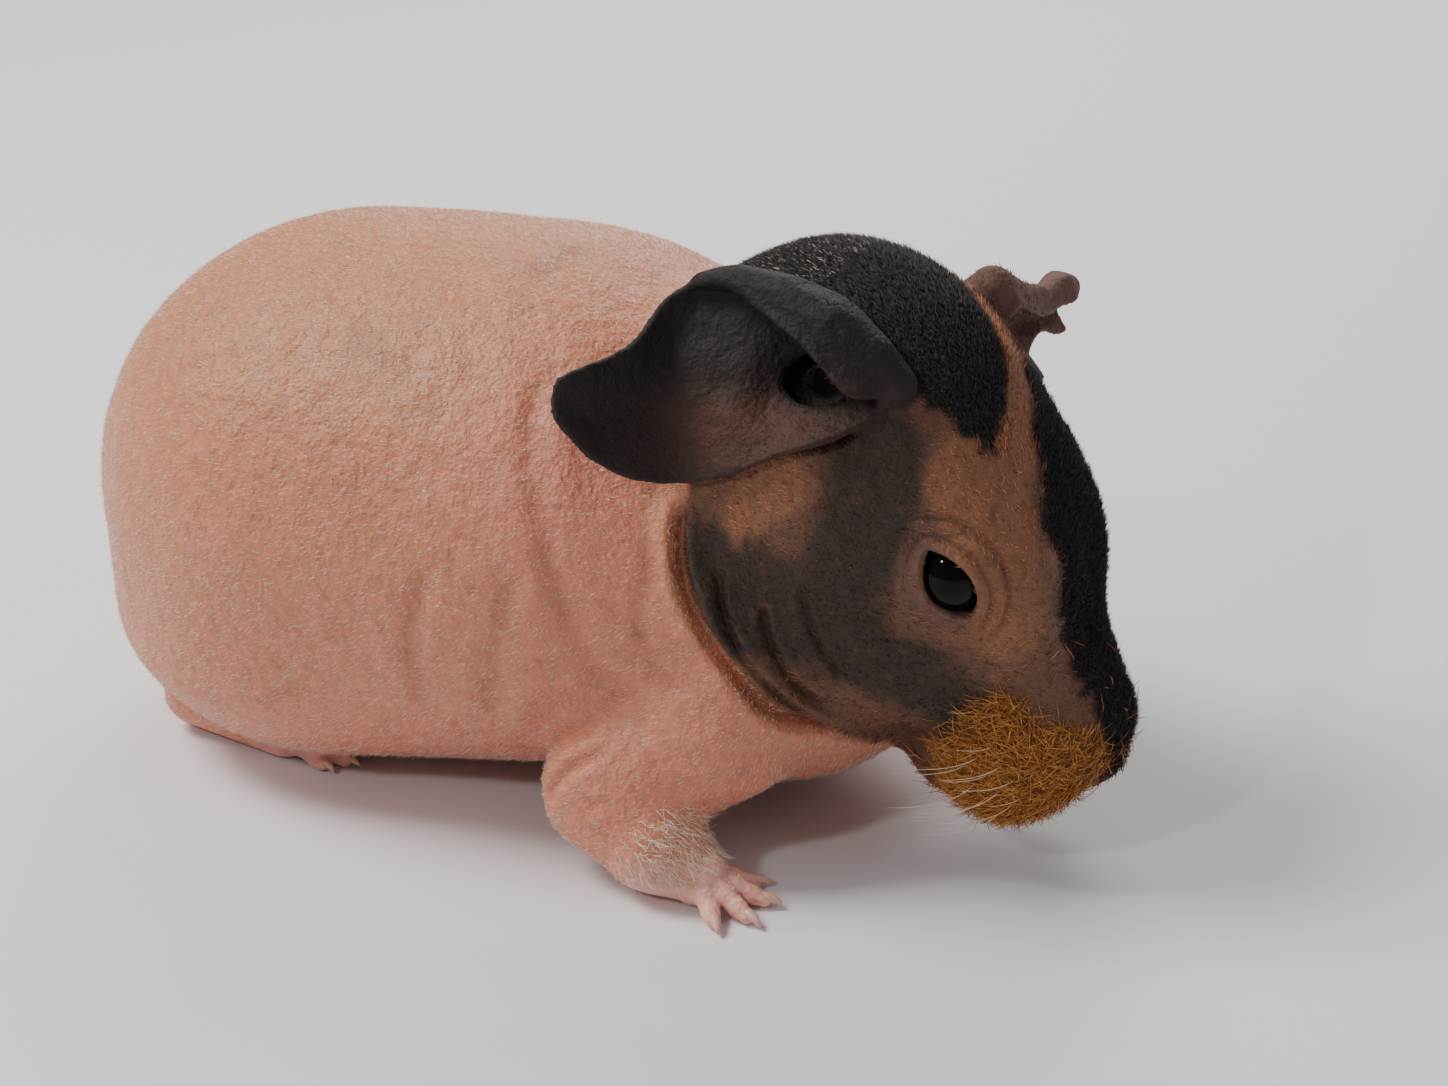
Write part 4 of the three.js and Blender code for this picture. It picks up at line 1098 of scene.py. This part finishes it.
def set_tint(colour_a, colour_b):
    """A colour between two given ones."""
    return lambda tones, rng: colour_a + (colour_b - colour_a) * rng.random((len(tones), 1))


def backward(p):
    return np.tile(np.array((-1.0, 0, -0.5)), (len(p), 1))


def forward(p):
    return np.tile(np.array((1.0, 0, -0.5)), (len(p), 1))


dark_share = dark * furless * (1 - ear_near)
# These hairs run from darker than the skin to much paler; the paler ones are partly a paler hair colour and
# partly painted highlight on the hair tips
for n in range(2):
    coat(
        f"head_fuzz_{n}", 19000, dark_share + 0.02 * head_share, size=(0.7, 1.4), base=0.055, lift=0.75,
        flow=head_flow, rings=2, seed=100 + n, tint=own_tint(0.6, 3.8), chart=head_chart,
    )
coat(
    "cheek_fuzz", 19500, head_share * (1 - dark), size=(0.5, 1.1), base=0.05, lift=0.6,
    flow=head_flow, rings=2, seed=110, tint=own_tint(0.4, 3.4), chart=head_chart,
)
stray_share = 0.015 * smooth(24, 34, q[:, 0]) * on_head
# The tint runs from orange-brown to pale gold; the pale gold is partly the fur's own colour and partly
# painted highlight
coat(
    "muzzle_fur", 8500, muzzle_share + stray_share, size=(1.3, 2.8), base=0.07, lift=0.75,
    flow=head_flow, rings=4, seed=120, tint=set_tint(linear(142, 74, 24), linear(236, 170, 94)),
    chart=head_chart, bend=1.2, spread=1.1,
)
body_share = (1 - on_head) * (1 - ear_near) * smooth(1.5, 4, points[:, 2])
for n in range(2):
    coat(
        f"body_down_{n}", 42000, body_share, size=(0.45, 1.05), base=0.05, lift=0.55,
        flow=backward, rings=1, seed=130 + n, tint=set_tint(linear(216, 172, 146), linear(255, 240, 226)),
        chart=body_chart,
    )
wrist_gap = length(fold_y(points) - np.array(WRIST[0]) - (1.5, 0, 0))
wrist_share = smooth(7.5, 5.5, wrist_gap) * smooth(3, 5, points[:, 2])
coat(
    "wrist_fur", 1500, wrist_share, size=(1.2, 2.6), base=0.045, lift=0.45,
    flow=forward, rings=3, seed=140, tint=set_tint(linear(226, 190, 150), linear(250, 240, 226)),
    chart=body_chart, spread=0.5,
)
coat(
    "ear_fuzz", 6000, ear_near + 0.0001, size=(0.25, 0.6), base=0.03, lift=0.6,
    flow=head_flow, rings=1, seed=150, tint=own_tint(0.8, 2.0), chart=head_chart,
)

# Whiskers: pale, short and curled, in rows on each whisker pad
WHISKER_ROWS, WHISKER_COLUMNS = 4, 4
WHISKER_POINTS = 11


def whisker(side, row, column, rng):
    """One whisker's path, rooted on the skin by stepping along the field."""
    root = np.array((31.5 + 2.4 * column, 0, -9 - 2.3 * row - 0.3 * column))
    out = np.array((0.0, side, 0))
    at = from_head(root + out * 3)
    for _ in range(12):
        at = at - HEAD_AXES @ out * body_field(at[None])[0]
    reach = rng.uniform(5, 10) * (0.8 if row == 0 else 1)
    ahead = np.array((0.15 - 0.25 * (3 - column) / 3, side * 0.9, -0.35 - 0.12 * row))
    heading = unit(ahead + rng.normal(0, 0.12, 3))
    curl = np.array((-0.9, -side * 0.15, -0.5)) * rng.uniform(0.4, 0.9)
    t = np.linspace(-0.03, 1, WHISKER_POINTS)[:, None]
    path = at + (heading * t * reach + curl * t * t * reach) @ HEAD_AXES.T
    path[:, 2] = np.maximum(path[:, 2], 0.3)
    return path


rng = np.random.default_rng(160)
paths = np.array([
    whisker(side, row, column, rng)
    for side in (1, -1)
    for row in range(WHISKER_ROWS)
    for column in range(WHISKER_COLUMNS)
])
radii = np.linspace(0.075, 0.02, WHISKER_POINTS)[None].repeat(len(paths), 0)
tones = np.tile(linear(232, 208, 170), (len(paths), 1))
whiskers = spikes("whiskers", "coat", paths, radii, tones, head_chart(paths[:, 0]), 4)
whiskers.data.materials.append(coat_look)


# Claws: at the end of each toe, from inside it to a blunt tip
def claw_path(base, ahead, reach, side):
    spots = (
        (reach - 0.4, 1.35),
        (reach + 0.6, 1.55),
        (reach + 1.5, 1.35),
        (reach + 2.2, 0.9),
        (reach + CLAW_LENGTH, 0.45),
    )
    return [(base + ahead * d + (0, 0, z)) * (1, side, 1) for d, z in spots]


toes = [line for toes in (FORE_TOES, HIND_TOES) for line in toe_lines(toes)]
paths = np.array([claw_path(*line, side) for line in toes for side in (1, -1)])
radii = np.tile(CLAW_RADIUS * np.array((1, 0.92, 0.7, 0.42, 0.1)), (len(paths), 1))
tones = np.tile(linear(222, 186, 168), (len(paths), 1))
claws = spikes("claws", "claw", paths, radii, tones, body_chart(paths[:, 0]), 10)
claw_look = shader(
    "claw", linear(214, 170, 150), Roughness=0.35, Subsurface_Weight=0.2, Subsurface_Scale=0.001
)[0]
claws.data.materials.append(claw_look)

# Floor, lights and camera
FLOOR_HALF = 3
floor = bpy.data.meshes.new("floor")
corners = [(FLOOR_HALF * x, FLOOR_HALF * y, 0) for x, y in ((-1, -1), (1, -1), (1, 1), (-1, 1))]
floor.from_pydata(corners, [], [(0, 1, 2, 3)])
floor_object = bpy.data.objects.new("floor", floor)
bpy.context.scene.collection.objects.link(floor_object)
floor.materials.append(shader("floor", linear(232, 230, 232), Roughness=0.9)[0])
floor_object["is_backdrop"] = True

AZIMUTH, ELEVATION = math.radians(19), math.radians(25)
LEVEL = math.cos(ELEVATION)
BACK = np.array((math.sin(AZIMUTH) * LEVEL, -math.cos(AZIMUTH) * LEVEL, math.sin(ELEVATION)))
RIGHT = np.array((math.cos(AZIMUTH), math.sin(AZIMUTH), 0))
UP = np.cross(BACK, RIGHT)
TARGET = (np.array((4, -3.5, 33.5)) + SHIFT) * MM
DISTANCE = 0.378
VIEW_WIDTH = math.radians(27.3)

# Lights: name, place from the target as back, right and up, width, power and tint
LIGHTS = (
    ("key", (0.2, -0.42, 0.5), 0.26, 4.9, (1, 0.98, 0.95)),
    ("fill", (0.35, 0.7, 0.3), 0.5, 0.9, (0.95, 0.97, 1)),
    ("catch", (0.55, -0.34, 0.2), 0.05, 0.8, (1, 1, 1)),
    ("top", (-0.3, 0.1, 0.6), 0.4, 2.6, (1, 1, 1)),
)


def look(thing, place):
    """Put a light or a camera at a place, facing the target."""
    thing.location = place
    thing.rotation_mode = "QUATERNION"
    thing.rotation_quaternion = Vector(TARGET - place).to_track_quat("-Z", "Y")
    bpy.context.scene.collection.objects.link(thing)


for name, (back, right, up), size, power, tint in LIGHTS:
    data = bpy.data.lights.new(name, "AREA")
    data.size = size
    data.energy = power
    data.color = tint
    look(bpy.data.objects.new(name, data), TARGET + (BACK * back + RIGHT * right + UP * up))

world = bpy.data.worlds.new("studio")
world.use_nodes = True
world.node_tree.nodes["Background"].inputs["Color"].default_value = (0.8, 0.82, 0.86, 1)
world.node_tree.nodes["Background"].inputs["Strength"].default_value = 0.28
bpy.context.scene.world = world

lens = bpy.data.cameras.new("camera")
lens.sensor_width = 36
lens.sensor_fit = "HORIZONTAL"
lens.lens = lens.sensor_width / 2 / math.tan(VIEW_WIDTH / 2)
lens.clip_start = 0.01
camera = bpy.data.objects.new("camera", lens)
look(camera, TARGET + BACK * DISTANCE)
bpy.context.scene.camera = camera

low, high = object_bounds()
